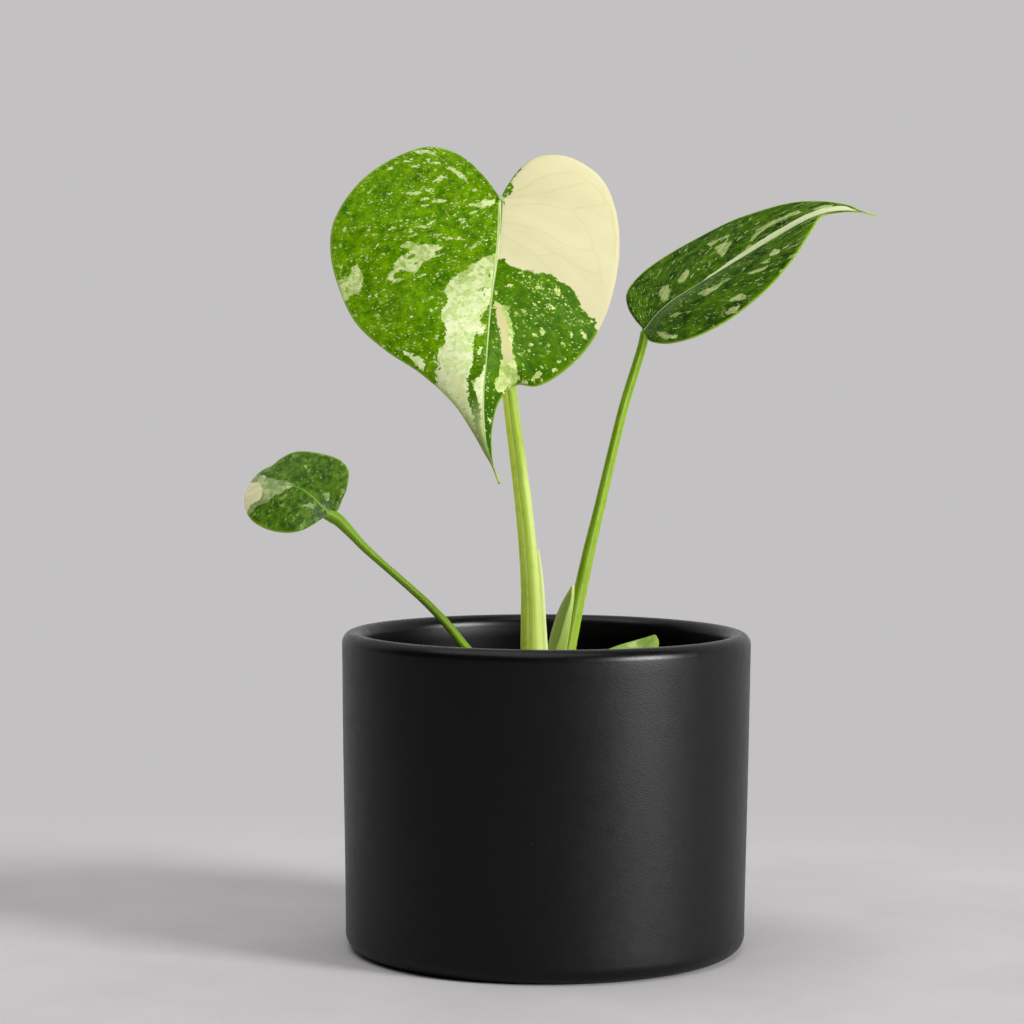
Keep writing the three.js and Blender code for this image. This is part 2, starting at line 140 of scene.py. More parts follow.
# The blades, point for point as in the part's source. Each is drawn in a frame of its own:
# y runs from the stalk's end to the tip, and z stands off the upper face.
# veins are how many side veins a half holds, and how far they bend toward the tip.
LEAVES = {
    "main": {
        "junction": (-15, -6, 237.2),
        "to_tip": (0, -0.342, -0.94),
        "face": (0, -0.94, 0.342),
        "rows": 210, "across": 72, "billow": 1.8, "tip_pinch": 0.4, "veins": (9, 0.9),
        "fan": {"left": 0.3, "right": 0.36},
        "midrib": [
            (0, 0, 0), (0.2, 9.3, 1.9), (0.9, 19.8, 3.1), (2.2, 31.7, 3.7), (3.2, 43, 3.3), (4, 55.5, 1.6),
            (4.7, 65.5, -0.9), (4.3, 75.5, -4.3), (3.1, 81, -6.8), (1.5, 85.3, -8.5), (-0.3, 90.4, -9.9),
        ],
        "left": [
            (-1.5, -0.5, -0.1), (-3.3, -6.8, -1), (-6.8, -12.4, -2.4), (-12.3, -16.4, -3.6),
            (-20.8, -16.8, -4.5), (-31.1, -10.6, -5.9), (-35.6, -1.4, -6.4), (-37.4, 10.8, -6.4),
            (-36.2, 24.3, -6.4), (-32.8, 36.6, -7.4), (-27.6, 45.7, -8.9), (-19.5, 53.8, -10.3),
            (-11.7, 58.3, -10.3), (-5.2, 58.7, -8.5), (-0.5, 63.4, -7.7), (2.2, 73.5, -8.1),
            (1.9, 82, -9.3), (0.9, 86, -9.8), (-0.7, 90.3, -10.1),
        ],
        "right": [
            (1, -0.5, -0.1), (4.2, -5.8, -0.6), (12, -15.4, -2.5), (22.4, -19.9, -4.3),
            (33.4, -16.8, -5.4), (44.7, -8.4, -5.9), (52.7, 5.3, -5.9), (53.4, 15.6, -5.4),
            (50.7, 27.2, -4.9), (44.8, 39.8, -4.4), (35.2, 49, -4.4), (24.2, 56.5, -4.4), (14.2, 66, -4.4),
            (8.2, 74.6, -5.8), (3.8, 82.2, -8.3), (1.8, 86, -9.2), (0.1, 90.4, -10),
        ],
    },
    "right": {
        "junction": (31, 6, 196.6),
        "to_tip": (0.891, 0.073, 0.448),
        "face": (-0.331, -0.573, 0.75),
        "rows": 170, "across": 48, "billow": 1, "tip_pinch": 0.3, "veins": (10, 1.3),
        "fan": {"left": 0.28, "right": 0.2},
        "midrib": [
            (0, 0, 0.3), (-1.7, 5, 2.1), (-3.1, 12, 3.4), (-4.3, 24, 3.9), (-5.5, 36.5, 4.5),
            (-6.3, 51.6, 5.1), (-6.3, 66.8, 5.2), (-5.3, 73.2, 3.8), (-3.3, 78.3, 2.1), (0, 82.5, 0),
        ],
        "left": [
            (-2.1, -0.4, 0.3), (-6.3, -1, 1.8), (-12.6, -0.7, 2.2), (-19, 1.4, 3), (-24.7, 9, 3.2),
            (-27.5, 21.5, 3.5), (-27.9, 33.6, 3.9), (-25.8, 48.7, 4.5), (-20.8, 62.6, 4.4),
            (-13.7, 71.5, 4.2), (-7.7, 77.4, 2.4), (-3.7, 80, 1.1), (-0.5, 82.8, -0.1),
        ],
        "right": [
            (1.6, -0.6, 0.3), (5.7, -1, 0.4), (11.1, 0.2, 1.7), (15.8, 3.9, 2.4), (19.7, 11, 3.1),
            (21, 21.9, 4.2), (18.8, 36.6, 5.9), (12.6, 49.4, 7.5), (5.9, 57.1, 7.5), (0.4, 62.8, 7.3),
            (-4.3, 66.9, 5.9), (-5, 70.5, 4.8), (-4, 74.4, 3.6), (-2.2, 78.6, 2), (0.4, 82.3, 0),
        ],
    },
    "left": {
        "junction": (-71, 34, 136),
        "to_tip": (-0.979, 0.034, 0.202),
        "face": (0.091, -0.812, 0.576),
        "rows": 110, "across": 44, "billow": 1, "veins": (5, 0.5),
        "fan": {"left": 0.22, "right": 0.3},
        "midrib": [
            (0, 0, 0), (0.8, 3, 2), (3.4, 9, 4.6), (4.2, 15, 5.6), (3.2, 22.9, 4.2), (0, 29.1, -0.1),
        ],
        "left": [
            (-0.9, 0.2, 0.1), (-2.6, 3, 0.7), (-5, 4.5, 0.9), (-8.4, 7.2, 0.8), (-11.2, 11.9, 1.1),
            (-11.6, 18.5, 1.1), (-9.6, 24, 0.9), (-5.5, 27.4, -0.1), (-0.5, 29.2, -0.3),
        ],
        "right": [
            (0.6, -1.2, 0.1), (2.3, -2, 0.6), (5.4, -2.3, 1.3), (10.5, -2.9, 2.5), (16.4, -1.9, 3),
            (19.6, 1.7, 3.1), (21.1, 9.5, 2), (20.5, 16.9, 0.6), (17.2, 21.2, -0.3), (14.3, 23.4, -0.8),
            (11.4, 26.1, -0.6), (7.9, 28, -0.6), (3.8, 29, -0.4), (0.4, 29.3, -0.3),
        ],
    },
    "low": {
        "junction": (15, 9, 85.5),
        "to_tip": (0.797, 0.33, 0.505),
        "face": (-0.242, -0.593, 0.768),
        "rows": 70, "across": 24, "billow": 0.4, "veins": (5, 0.6),
        "fan": {"left": 0.25, "right": 0.25},
        "midrib": [(0, 0, 0), (0.6, 6, 0.3), (1, 12, -0.4), (0.9, 18.3, -1), (0, 25.4, -0.3)],
        "left": [
            (-0.8, -0.5, 0.1), (-2.4, -1.2, 0.5), (-4.6, 0.2, 0.8), (-6, 4.5, 0.8), (-6.3, 10.5, 0),
            (-5.6, 16.5, -1.3), (-3.8, 21.7, -1.8), (-0.6, 25.2, -0.4),
        ],
        "right": [
            (0.8, -0.5, 0.1), (2.6, -1.4, 0.6), (5.6, -0.4, 1.2), (8.4, 4.5, 1.4), (9.2, 11, 1.1),
            (8.4, 17.2, 0.6), (6.1, 22, 0.1), (3.4, 24.4, 0), (0.6, 25.4, -0.2),
        ],
    },
}

# The stalks, with their radii spread evenly from the foot to the blade
STALKS = {
    "main": {
        "points": [
            (-4.2, -0.6, 79.5), (-4.4, -0.8, 87), (-4.7, -1, 97), (-4.9, -0.8, 108), (-5.4, -0.3, 120),
            (-6.6, 0.5, 133), (-8.6, 2, 150), (-11.7, 4, 173), (-13.7, 5.4, 190), (-15.2, 6.2, 210),
            (-15.8, 5, 222), (-15.8, 2, 230), (-15.4, -2, 234.6), (-15, -4.6, 236.3),
        ],
        "radii": (3.9, 3.55, 3.15, 2.85, 2.65, 2.5, 2.35, 2.2, 2.05, 1.9, 1.7),
    },
    "right": {
        "points": [
            (5.2, 3.3, 79.5), (6.2, 3.6, 89), (7.6, 4, 98), (10.7, 5, 113), (13.7, 6, 127),
            (16.5, 7, 138.6), (19.1, 8, 150), (24.6, 8.6, 173), (28.1, 8.8, 184.6), (30.2, 8.5, 191.8),
            (30.9, 6.9, 195.6),
        ],
        "radii": (2.8, 2.5, 2.25, 2.05, 1.85, 1.7, 1.6, 1.55, 1.5, 1.45),
    },
    "left": {
        "points": [
            (-8.5, 4, 73), (-12, 4.8, 78.4), (-17, 5.8, 84.4), (-22.2, 6.8, 90.6), (-26.4, 7.6, 95.4),
            (-31, 11, 100.8), (-38, 16.5, 107.6), (-46, 22, 114.2), (-55, 27, 121.4), (-60.6, 30.2, 126.2),
            (-65.6, 33.2, 131.2), (-68.6, 34.4, 134), (-70.6, 34.9, 135.2),
        ],
        "radii": (2.1, 1.9, 1.6, 1.4, 1.3, 1.25, 1.25, 1.5, 2.2),
    },
    "low": {
        "points": [(6, 5.5, 71), (8.6, 7, 75.6), (11.8, 8.6, 80.4), (15, 9.6, 84.2)],
        "radii": (1.6, 1.3, 1),
    },
}

# The sheaths, each from its root line to its free edge. The front one is the rolled margin
# of the right stalk's sheath.
SHEETS = {
    "main": [
        [(-3, 0.6, 80.6), (-3.2, 0.4, 91), (-3.4, 0.4, 104), (-4, 0.6, 117), (-4.4, 0.4, 126.6)],
        [(1.6, 2.2, 80.6), (0.8, 1.6, 91), (-0.1, 1.2, 104), (-1, 0.8, 117), (-2.5, 0.2, 127.6)],
    ],
    "right": [
        [(5, 3.8, 80.6), (6, 4, 89), (7.2, 4.6, 97), (9.2, 5.2, 106), (10.6, 5.6, 114)],
        [(-1.4, 7.6, 80.6), (-0.4, 9.4, 88), (1, 11, 97), (4, 10.6, 107), (8.2, 7.8, 115.2)],
    ],
    "front": [
        [(5.7, 1.2, 89), (6.6, 1.6, 95.7), (7.4, 2, 100.8), (8, 2.4, 105.6), (8.6, 3, 110.6),
         (8.9, 3.6, 115.1)],
        [(1.2, 2.6, 88.9), (3.3, 2.2, 95.6), (4.8, 2, 100.6), (6.1, 2.2, 105.6), (7.6, 2.6, 110.7),
         (8.1, 3.4, 115.6)],
    ],
}

# Outlines of pale patches, in each leaf's own frame. The left leaf's two lie across its rib.
CREAM_HALF = [
    (0.2, -0.3), (-0.7, -0.1), (-1.8, -1.2), (-3.8, -2.4), (-3.3, -3.2), (-3.9, -4.2), (-3.5, -5.3),
    (-4.1, -7.1), (-5.4, -9.7), (-6.6, -11.6), (-7.9, -13.7), (-7.2, -22), (-44, -22), (-44, 45.4),
    (-31, 45.2), (-30.6, 41.2), (-29.7, 39.9), (-29.9, 37.1), (-27.7, 36.6), (-25.8, 35), (-24.4, 32.5),
    (-23.7, 30.4), (-21.8, 28.2), (-20.3, 27.6), (-18.7, 27.5), (-17.7, 26.6), (-16.1, 25.2),
    (-15.5, 24.7), (-14.5, 25.1), (-13.2, 24.9), (-12.3, 25.4), (-10.7, 24.9), (-9.1, 24.7), (-7.8, 24.1),
    (-6.9, 24.7), (-6, 24), (-4.7, 23.7), (-3.1, 23.5), (-1.8, 22.2), (-1.2, 21.2), (1.2, 21.5),
]
PALE_END = [
    (8.5, 25.8), (6.4, 22.9), (5.4, 21), (5.1, 16.6), (4.8, 13.5), (2.8, 14.7), (1.2, 17), (-1.7, 19),
    (-3, 20.7), (-4.5, 23.6), (-9.5, 27.1), (-2.1, 33), (6, 33), (10, 29),
]
CREAM_END = [
    (5.4, 28.4), (4.5, 25.2), (1.9, 23.5), (-1.1, 23), (-2.5, 23.5), (-4, 25.8), (-6.1, 26.6), (-8.6, 27),
    (-7.9, 32), (5.5, 33.5),
]

# The pale patches of each half of a blade
PALE = {
    ("main", "left"): [
        CREAM_HALF,
        [(1.7, 35.5), (1.2, 38.9), (0.8, 42.8), (-0.3, 46.1), (-0.8, 49.5), (-1, 53.2), (-0.2, 55.3),
         (0.7, 58.2), (1.7, 60.2), (0.9, 62), (-0.4, 62), (-2.3, 60.6), (-4, 59.3), (-6.2, 57.2),
         (-5.6, 55.1), (-4.7, 52.2), (-4, 49), (-4.5, 44.7), (-4, 41.8), (-2.7, 38.9), (-1.3, 36.4),
         (0.4, 35.9)],
        [(-16.6, 29), (-17.6, 29.2), (-18.3, 28.6), (-19.1, 31.6), (-17, 31)],
    ],
    ("main", "right"): [
        [(0.6, 18.1), (2.1, 20.1), (3.6, 19.9), (5.5, 20.9), (7.4, 22.3), (8.7, 22.9), (10.6, 25),
         (13.4, 25.9), (15, 28.2), (17.3, 31.5), (15.8, 34), (17.8, 38.5), (17.7, 41.2), (16.6, 43.9),
         (16.5, 48.3), (18.3, 49.4), (19.1, 52.7), (18, 55.3), (19.9, 56.5), (19.1, 59.2), (21, 61.5),
         (19, 66.5), (14.8, 70), (11.6, 73.6), (8.2, 77.6), (6.2, 76.6), (7, 73.8), (7.7, 71), (8.8, 66.9),
         (9.5, 63.2), (9.7, 59.4), (8.4, 57), (8, 53.6), (8, 48.4), (7.2, 46.2), (5.9, 43.5), (5.7, 40.2),
         (3.8, 37.7), (3, 35.4), (0.6, 34)],
        [(7.7, 60.4), (6.2, 59.6), (4.9, 57.5), (3.7, 53.7), (3.4, 51), (2.4, 52), (2.6, 77.6),
         (4.4, 77.3), (5.3, 74), (5.7, 70.4), (5.7, 67.9), (6.8, 65), (7.5, 62.1)],
        [(5.7, 43.8), (4, 43.1), (4.6, 45.3), (6.3, 46.6), (6.6, 45.5)],
        [(5.9, 49.6), (5.3, 50.2), (6.1, 53.6), (6.6, 53.2)],
        [(31, 15.9), (29.6, 14.2), (27.7, 14.3), (27, 15.6), (24.1, 15.4), (21.2, 15.4), (17.5, 16.6),
         (18.6, 17.6), (20.1, 18.2), (20.2, 19.7), (21.1, 20.5), (22.7, 20.2), (24.1, 22.6), (25.9, 24.9),
         (27.5, 25.1), (29.1, 24.1), (31, 23.8), (32.6, 24.8), (33.8, 27), (35.3, 25.9), (34.2, 24.3),
         (32.6, 23.4), (33.4, 22.1), (32.4, 20.3), (30.4, 18.7), (28.5, 18.1), (28.7, 16.7)],
        [(33.3, 28.4), (32.9, 26.8), (31, 26.2), (29.4, 25.7), (30.3, 27), (32.2, 27.9)],
        [(44.6, 20.5), (44.2, 22.1), (42.4, 24), (42.8, 27), (43.3, 29.9), (46.7, 31.3), (48.4, 32.7),
         (52, 29), (53, 26), (49.6, 25.2), (47.4, 24.5), (46.2, 21.9)],
        [(28.8, -18.5), (24.8, -18.7), (20.9, -17.6), (20.6, -16.5), (23.5, -16.9), (26.8, -17.2)],
        [(10.6, 2.2), (6.5, 1.2), (5.8, 0.5), (1.7, 0), (1.9, 2), (5.7, 3.2), (8, 2.5)],
        [(29.5, 49.7), (27.3, 50.5), (25.1, 51.5), (23.3, 52.3), (23.1, 53.9), (23.5, 55.6), (25.1, 54.5),
         (26.8, 52.5), (28.6, 50.9)],
    ],
    ("right", "left"): [
        [(-12.6, 11.2), (-10.9, 14), (-7.3, 13.3), (-4.3, 11.3), (-4.6, 9.4), (-8.6, 9.5)],
        [(-11.9, 18.9), (-12.8, 21.8), (-10.8, 21.8), (-8.7, 19.4), (-7.8, 16.5), (-9.9, 16.9)],
        [(-16.2, 33.4), (-16, 37.7), (-13.7, 38.6), (-12.1, 36.1), (-10.1, 33.5), (-12.7, 32.7)],
        [(-20.1, 32), (-19.9, 36.3), (-18.9, 39.2), (-17.9, 38.4), (-18.6, 35.1), (-18.1, 31.6)],
        [(-10.6, 43.1), (-14.6, 48.1), (-14.6, 51), (-14.6, 56), (-13.7, 62.9), (-11.6, 62.8),
         (-11.8, 57.1), (-12.4, 53), (-12.5, 49.4), (-11.1, 46.6), (-10.1, 44.4)],
        [(-7.6, 39.6), (-8.8, 42.4), (-7.7, 44.8), (-6.5, 43.1), (-6.9, 40.8)],
        [(-8, 51.4), (-8.6, 55), (-7.8, 55.7), (-7.1, 53.2)],
        [(-10.4, 65.9), (-10.6, 69.4), (-9.3, 72.9), (-7.6, 71.6), (-8, 67.7)],
    ],
    ("right", "right"): [
        [(1.9, 19.7), (2.3, 22.5), (3.3, 25.8), (2.6, 29), (3.5, 31.6), (4.4, 29.8), (4.5, 26.8),
         (5.8, 24.1), (4.8, 20.8)],
        [(13.4, 26.4), (13.6, 29.6), (14.6, 31.3), (16.7, 31.1), (16.7, 28.9), (15, 26.8)],
        [(6.3, 35.6), (7.9, 40), (8.7, 42.6), (10, 41.4), (8.4, 37.7), (7.4, 35.9)],
        [(6, 40.8), (6.2, 44.4), (7.6, 43.5), (7.1, 41.1)],
        [(3, 45.3), (2.4, 48.1), (4.7, 49.3), (5.8, 47.4), (4.4, 45.1)],
        [(17.8, 23.3), (16.9, 25.2), (18.4, 28.1), (19.8, 26.8), (19.2, 24.2)],
        [(6.7, 2.4), (10.6, 4.3), (14.6, 6.7), (15.2, 6.1), (13.3, 3.2), (10.4, 2.2)],
        [(3.7, 8.2), (4.4, 11.3), (6.7, 12.6), (6.4, 9.7)],
    ],
    ("left", "left"): [
        PALE_END,
        [(-1.2, 10.3), (0.1, 7.3), (-0.7, 5.4), (-2, 7.1), (-1.9, 9.5)],
    ],
    ("left", "right"): [
        PALE_END,
        [(5.3, 4.1), (6.4, 2.3), (4, 1.9), (3, 3.2)],
    ],
    ("low", "left"): [
        [(-2.6, 16), (-4.5, 18.3), (-3.3, 19.9), (-0.2, 18.3)],
    ],
}

# The part of the pale patches that is cream rather than mint
CREAM = {
    ("main", "left"): [
        CREAM_HALF,
        [(1.7, 35.5), (1.2, 38.9), (0.8, 42.8), (-0.3, 46.1), (-0.8, 49.5), (-1.2, 53.7), (-3.1, 53.8),
         (-4.4, 52), (-3.6, 49), (-2.9, 45.8), (-2.7, 42.7), (-1.7, 39.7), (-0.2, 36.7)],
    ],
    ("main", "right"): [
        [(15, 56.9), (12.3, 58), (11.5, 60.1), (10.6, 62.6), (9.3, 66.8), (8.8, 68.9), (11, 65.4),
         (13.2, 62.7), (14.9, 60.1)],
    ],
    ("left", "left"): [CREAM_END],
    ("left", "right"): [CREAM_END],
}

# Single specks large enough to place: (x, y, half length, half width, degrees from x)
SPECKS = {
    "main": [
        (30.6, -14.6, 1.6, 0.4, 6), (22.8, -14.1, 1.1, 0.5, 134), (20.3, -13, 1, 0.4, 170),
        (15.4, -10.7, 2.8, 0.6, 137), (11.7, -7.6, 1.3, 0.5, 141), (27.6, -12.4, 1, 0.4, 164),
        (35.3, -12.3, 0.8, 0.4, 6), (19.4, -6.8, 1.1, 0.3, 177), (18.6, -7.8, 0.8, 0.3, 177),
        (22.9, -3.7, 1.6, 0.6, 161), (28, -2.9, 2.4, 0.5, 0), (24.4, -0.7, 0.9, 0.3, 177),
        (19.9, 0.3, 2.4, 0.5, 4), (23.9, 1.6, 1.4, 0.3, 8), (30.1, 0.2, 0.5, 0.4, 0),
        (11.8, 7.7, 1.4, 0.6, 10), (8.1, 4.5, 1.5, 0.3, 20), (34.1, 9.6, 1.6, 0.45, 17),
        (27.1, 12.1, 1.4, 0.35, 10), (28.8, 8, 0.9, 0.3, 13), (21.9, 8, 1.1, 0.4, 26),
        (24.7, 9.2, 1.6, 0.3, 174), (19.2, 12.3, 1.1, 0.3, 177), (15.5, 13.5, 2.4, 0.5, 173),
        (24.9, 6.8, 0.9, 0.3, 178), (16.6, 21.9, 1.5, 0.4, 19), (18.9, 19.9, 0.6, 0.3, 178),
        (24.5, 26.3, 1.5, 0.4, 29), (38.4, 15, 0.7, 0.4, 40), (10.4, 16.4, 0.8, 0.3, 31),
        (8.3, 16.9, 1, 0.4, 43), (4, 14.4, 1.9, 0.3, 11), (3.1, 6.2, 1, 0.3, 50),
        (49.3, 8.4, 0.7, 0.3, 67), (40.5, 31.7, 0.7, 0.5, 174), (38.4, 31.9, 0.6, 0.4, 60),
        (21.1, 33.5, 1, 0.5, 40), (27.6, 36.4, 1, 0.7, 119), (20.2, 37.4, 1.2, 0.25, 12),
        (49.9, 21.4, 0.8, 0.3, 101), (45.1, 8.1, 0.6, 0.3, 51), (-10.2, 30.3, 1.1, 0.5, 116),
        (-12, 29, 0.9, 0.4, 121), (-8.8, 30.1, 0.5, 0.4, 5), (-13.4, 30.3, 0.8, 0.4, 137),
        (-11.3, 36.8, 1.8, 0.5, 109), (-7.9, 37.6, 0.7, 0.4, 166), (-13.1, 43, 0.9, 0.7, 135),
        (-10.7, 44.5, 0.8, 0.5, 168), (-22.3, 42.9, 1.2, 0.45, 118), (-26.2, 42.4, 1.1, 0.6, 131),
        (-23.6, 37.8, 0.7, 0.3, 166), (-22.1, 40, 0.6, 0.3, 157), (-10.1, 47.3, 0.7, 0.5, 8),
        (-15.1, 46.6, 0.8, 0.4, 113), (-18.4, 50.9, 0.6, 0.5, 149), (-17.3, 53.5, 0.6, 0.5, 8),
        (-11.2, 56, 0.9, 0.5, 48), (-25.2, 45.3, 0.4, 0.3, 113), (-19.4, 45.6, 0.4, 0.3, 8),
        (-6.3, 50.3, 0.5, 0.4, 8), (-8.1, 57.8, 0.5, 0.3, 3), (-15, 33.2, 0.5, 0.3, 5),
        (-16.3, 35.3, 0.6, 0.3, 144), (-20.6, 34.2, 0.5, 0.3, 156), (-2.9, 30, 1.1, 0.3, 25),
        (-5.7, 26.8, 0.4, 0.3, 5), (-2.3, 26.6, 0.5, 0.3, 152),
    ],
    "left": [(9.2, 8.6, 0.8, 0.6, 0), (14, 12, 0.7, 0.5, 30)],
}

# Green flecks inside the pale patches
FLECKS = {
    "main": [
        (4.2, 30.6, 0.5, 0.35, 130), (5.4, 31.2, 0.7, 0.3, 150), (6.3, 32, 0.9, 0.35, 150),
        (5.6, 32.6, 0.6, 0.3, 20), (4.7, 33.4, 0.8, 0.3, 110), (6.9, 33.3, 0.5, 0.3, 0),
        (11.8, 36.3, 0.35, 0.3, 0), (3.2, 26.6, 0.9, 0.4, 115), (27.8, 19.4, 1.4, 0.7, 20),
        (26.3, 21.8, 0.9, 0.5, 5), (24.3, 19.3, 0.7, 0.25, 150), (48, 29.2, 0.55, 0.45, 40),
        (6.7, 46.5, 0.4, 0.5, 0), (-1.1, 1.3, 0.3, 0.75, 20),
    ],
}

# The veins that show in the cream half of the main blade
CREAM_VEINS = [
    [(-4.8, 2), (-8.3, 1.5), (-11.5, 1.1), (-14.7, 1.3), (-17.6, 1.8), (-19.9, 2.5), (-22.4, 2.6),
     (-24.4, 1.5), (-27.3, 0.6), (-30.5, 0.2), (-32.7, -0.5)],
    [(-22.4, 2.6), (-24.4, 4.9), (-26.3, 7.1), (-27.3, 9.5), (-28.5, 12.1), (-29.3, 15.4), (-30.5, 18.1),
     (-31.1, 21.3), (-31.6, 25.9)],
    [(-5.7, -3.1), (-8.3, -4.8), (-10.8, -6.7), (-13.4, -8.1), (-16, -9.3), (-19.2, -10.1), (-22.4, -10.7),
     (-25, -10.1), (-26.9, -8.4)],
    [(-12.8, -2.5), (-16, -3.2), (-17.9, -4.4), (-20.8, -5.2), (-24, -6.5), (-27.3, -7.5), (-28.9, -7.5),
     (-30.2, -5.9), (-31.8, -4), (-32.8, -1.2)],
    [(-0.1, 8.4), (-2.6, 8.5), (-5.8, 9.1), (-8.4, 9.8), (-10.9, 10.6), (-13.8, 11.4), (-16.1, 12.6),
     (-18.3, 14), (-20.5, 15), (-23.1, 15.7), (-25.7, 16.1), (-28.9, 15.7)],
    [(-0.5, 12.8), (-2.1, 14), (-4.3, 15.1), (-7.2, 16.6), (-9.7, 18.2), (-12.3, 20.4), (-14.2, 22.6),
     (-16.1, 24.4)],
    [(-12.3, 19.4), (-14.8, 18.8), (-17, 17.9), (-18.6, 18.4), (-21.2, 19.9), (-23.7, 21.1), (-26, 22.5),
     (-28.2, 23), (-30.8, 23)],
    [(-31.8, -4.7), (-32.9, -2), (-34.5, 0.6), (-35.2, 3.4), (-35.3, 6.9), (-36.3, 10.3), (-35.8, 13.8),
     (-35.6, 16.6), (-36.6, 18.5)],
]

# Colours of the blades, as display values from 0 to 255, and what the leaves have in common. lane and
# stretch set how fine the cells are across and along the side veins, specks how many of them are pale,
# soft how far patches let the green through, rib the half width of the rib, and rim the margin's glow.
LOOKS = {
    "all": {
        "along_veins": True, "stripe": False, "stretch": 0.6, "ground": (1, 1, 1), "gloss": 0.03,
        "mottle": 0.07, "darker_left": 0, "darker_tip": 0, "rib_end": 1.1,
        "ivory": ((211, 202, 148), (219, 210, 160)),
    },
    "main": {
        "dark": (56, 104, 0), "light": (124, 172, 6), "deep": (44, 88, 0),
        "mint": ((152, 184, 80), (218, 234, 160)),
        "mint_painted_lit": ((214, 240, 150), (248, 255, 206)),
        "mint_left": ((160, 190, 84), (222, 236, 150)),
        "ivory": ((214, 208, 160), (222, 216, 172)),
        "speck": ((140, 182, 30), (228, 234, 168)), "specks": 1, "soft": 0,
        "rib_tint": ((222, 230, 166), (120, 164, 30)), "rib": 0.62, "rim": 0.45,
        "lane": 9, "stretch": 0.75, "along_veins": False, "darker_left": 0.5, "darker_tip": 0.95,
    },
    "right": {
        "dark": (18, 50, 0), "light": (86, 128, 0), "deep": (18, 50, 0),
        "mint": ((136, 164, 84), (196, 210, 140)),
        "mint_painted_lit": ((180, 198, 128), (206, 220, 156)),
        "mint_left": ((160, 182, 104), (188, 204, 130)),
        "speck": ((100, 144, 20), (206, 218, 150)), "specks": 0.95, "soft": 0.45,
        "rib_tint": ((196, 208, 150), (150, 176, 96)), "rib": 0.35, "rim": 0.8,
        "lane": 7, "ground": (1, 0.5, 1), "stripe": True,
    },
    "left": {
        "dark": (40, 76, 2), "light": (102, 144, 26), "deep": (40, 78, 2),
        "mint": ((158, 184, 100), (208, 226, 156)),
        "mint_painted_lit": ((180, 198, 138), (204, 220, 160)),
        "mint_left": ((166, 188, 120), (190, 208, 142)),
        # Painted light: this ivory is painted lighter than the main leaf's, to make up for the shade that
        # falls on this leaf
        "ivory": ((250, 244, 184), (254, 248, 200)),
        "speck": ((84, 128, 30), (146, 176, 86)), "specks": 2.2, "soft": 0.6,
        "rib_tint": ((134, 174, 72), (108, 150, 48)), "rib": 0.5, "rib_end": 0.85, "rim": 0.3,
        "lane": 6, "stretch": 0.42, "along_veins": False, "mottle": 0.16, "gloss": 0.12,
    },
    "low": {
        "dark": (134, 172, 60), "light": (164, 198, 88), "deep": (96, 150, 30),
        "mint": ((170, 200, 110), (206, 222, 150)),
        "mint_painted_lit": ((196, 214, 140), (216, 230, 160)),
        "mint_left": ((190, 210, 130), (210, 226, 150)),
        "speck": ((130, 170, 60), (190, 210, 130)), "specks": 0.5, "soft": 0.3,
        "rib_tint": ((170, 200, 110), (120, 160, 50)), "rib": 0.2, "rim": 0.5,
        "lane": 5, "gloss": 0.2,
    },
}

# Each stalk has stripes (place from left -1 to right 1, half width, strength, colour), low ridges
# (place, half width, height as a share of the radius), the scale of its streaks, and a tail that runs
# on into the rib (place in the blade's frame, radius). glow is how much light soaks in, and how far.
STALK_LOOKS = {
    "main": {
        "base": (188, 206, 94), "top": (132, 158, 20), "edge": (126, 164, 36),
        # Painted light: the first stripe paints the shaded left side lighter, and the last paints the lit
        # right side darker
        "stripes": [(-0.8, 0.55, 0.9, (228, 250, 110)), (-0.33, 0.13, 0.75, (226, 242, 150)),
                    (0.1, 0.1, 0.3, (160, 190, 40)), (0.62, 0.4, 0.5, (162, 188, 76))],
        "ridges": [(-0.33, 0.12, 0.012), (0.3, 0.2, 0.012)],
        "streaks": 2.2, "glow": (0.9, 0.007),
        "tail": [((0, 2.5, -0.9), 1.1), ((0, 7, -0.7), 0.5)],
    },
    "right": {
        "base": (160, 194, 48), "top": (130, 168, 34), "edge": (92, 138, 22),
        "stripes": [(0.1, 0.2, 0.8, (188, 214, 110)), (-0.5, 0.2, 0.35, (108, 148, 20)),
                    (-0.1, 0.14, 0.35, (156, 190, 44))],
        "ridges": [(0.12, 0.18, 0.03)],
        "streaks": 1.8, "glow": (0.6, 0.003),
        "tail": [((0, 2.5, -0.8), 0.9), ((0, 7, -0.6), 0.4)],
    },
    "left": {
        "base": (136, 178, 34), "top": (128, 170, 44), "edge": (88, 136, 20),
        "stripes": [(0.35, 0.3, 0.55, (172, 206, 100)), (-0.75, 0.25, 0.5, (92, 140, 14))],
        "ridges": [],
        "streaks": 0.8,
        "tail": [((0, 1.5, -0.5), 1.6), ((0.5, 4.5, -0.1), 0.9), ((2.4, 9, 1.2), 0.4)],
    },
    "low": {
        "base": (120, 165, 50), "top": (120, 165, 50), "edge": (90, 140, 30),
        "stripes": [],
        "ridges": [],
        "streaks": 1,
        "tail": [((0, 1.5, -0.3), 0.6), ((0, 4, -0.3), 0.3)],
    },
}


def smooth(low, high, value):
    """0 below low, 1 above high, and an even S between them."""
    share = np.clip((np.asarray(value, float) - low) / (high - low), 0, 1)
    return share * share * (3 - 2 * share)


def unit(vectors):
    return vectors / np.maximum(np.linalg.norm(vectors, axis=-1, keepdims=True), 1e-12)


def wave(x, y, z=0.0, seed=0.0):
    """A smooth made-up unevenness, from about -1 to 1."""
    a = np.sin(1.7 * x + 2.1 * y - 1.3 * z + seed) * np.cos(1.1 * y - 1.9 * z + 0.7 * seed)
    b = np.sin(3.1 * y - 2.3 * x + 2.9 * z + 2 * seed) * np.cos(2.7 * x + 1.3 * z - seed)
    return 0.65 * a + 0.35 * b


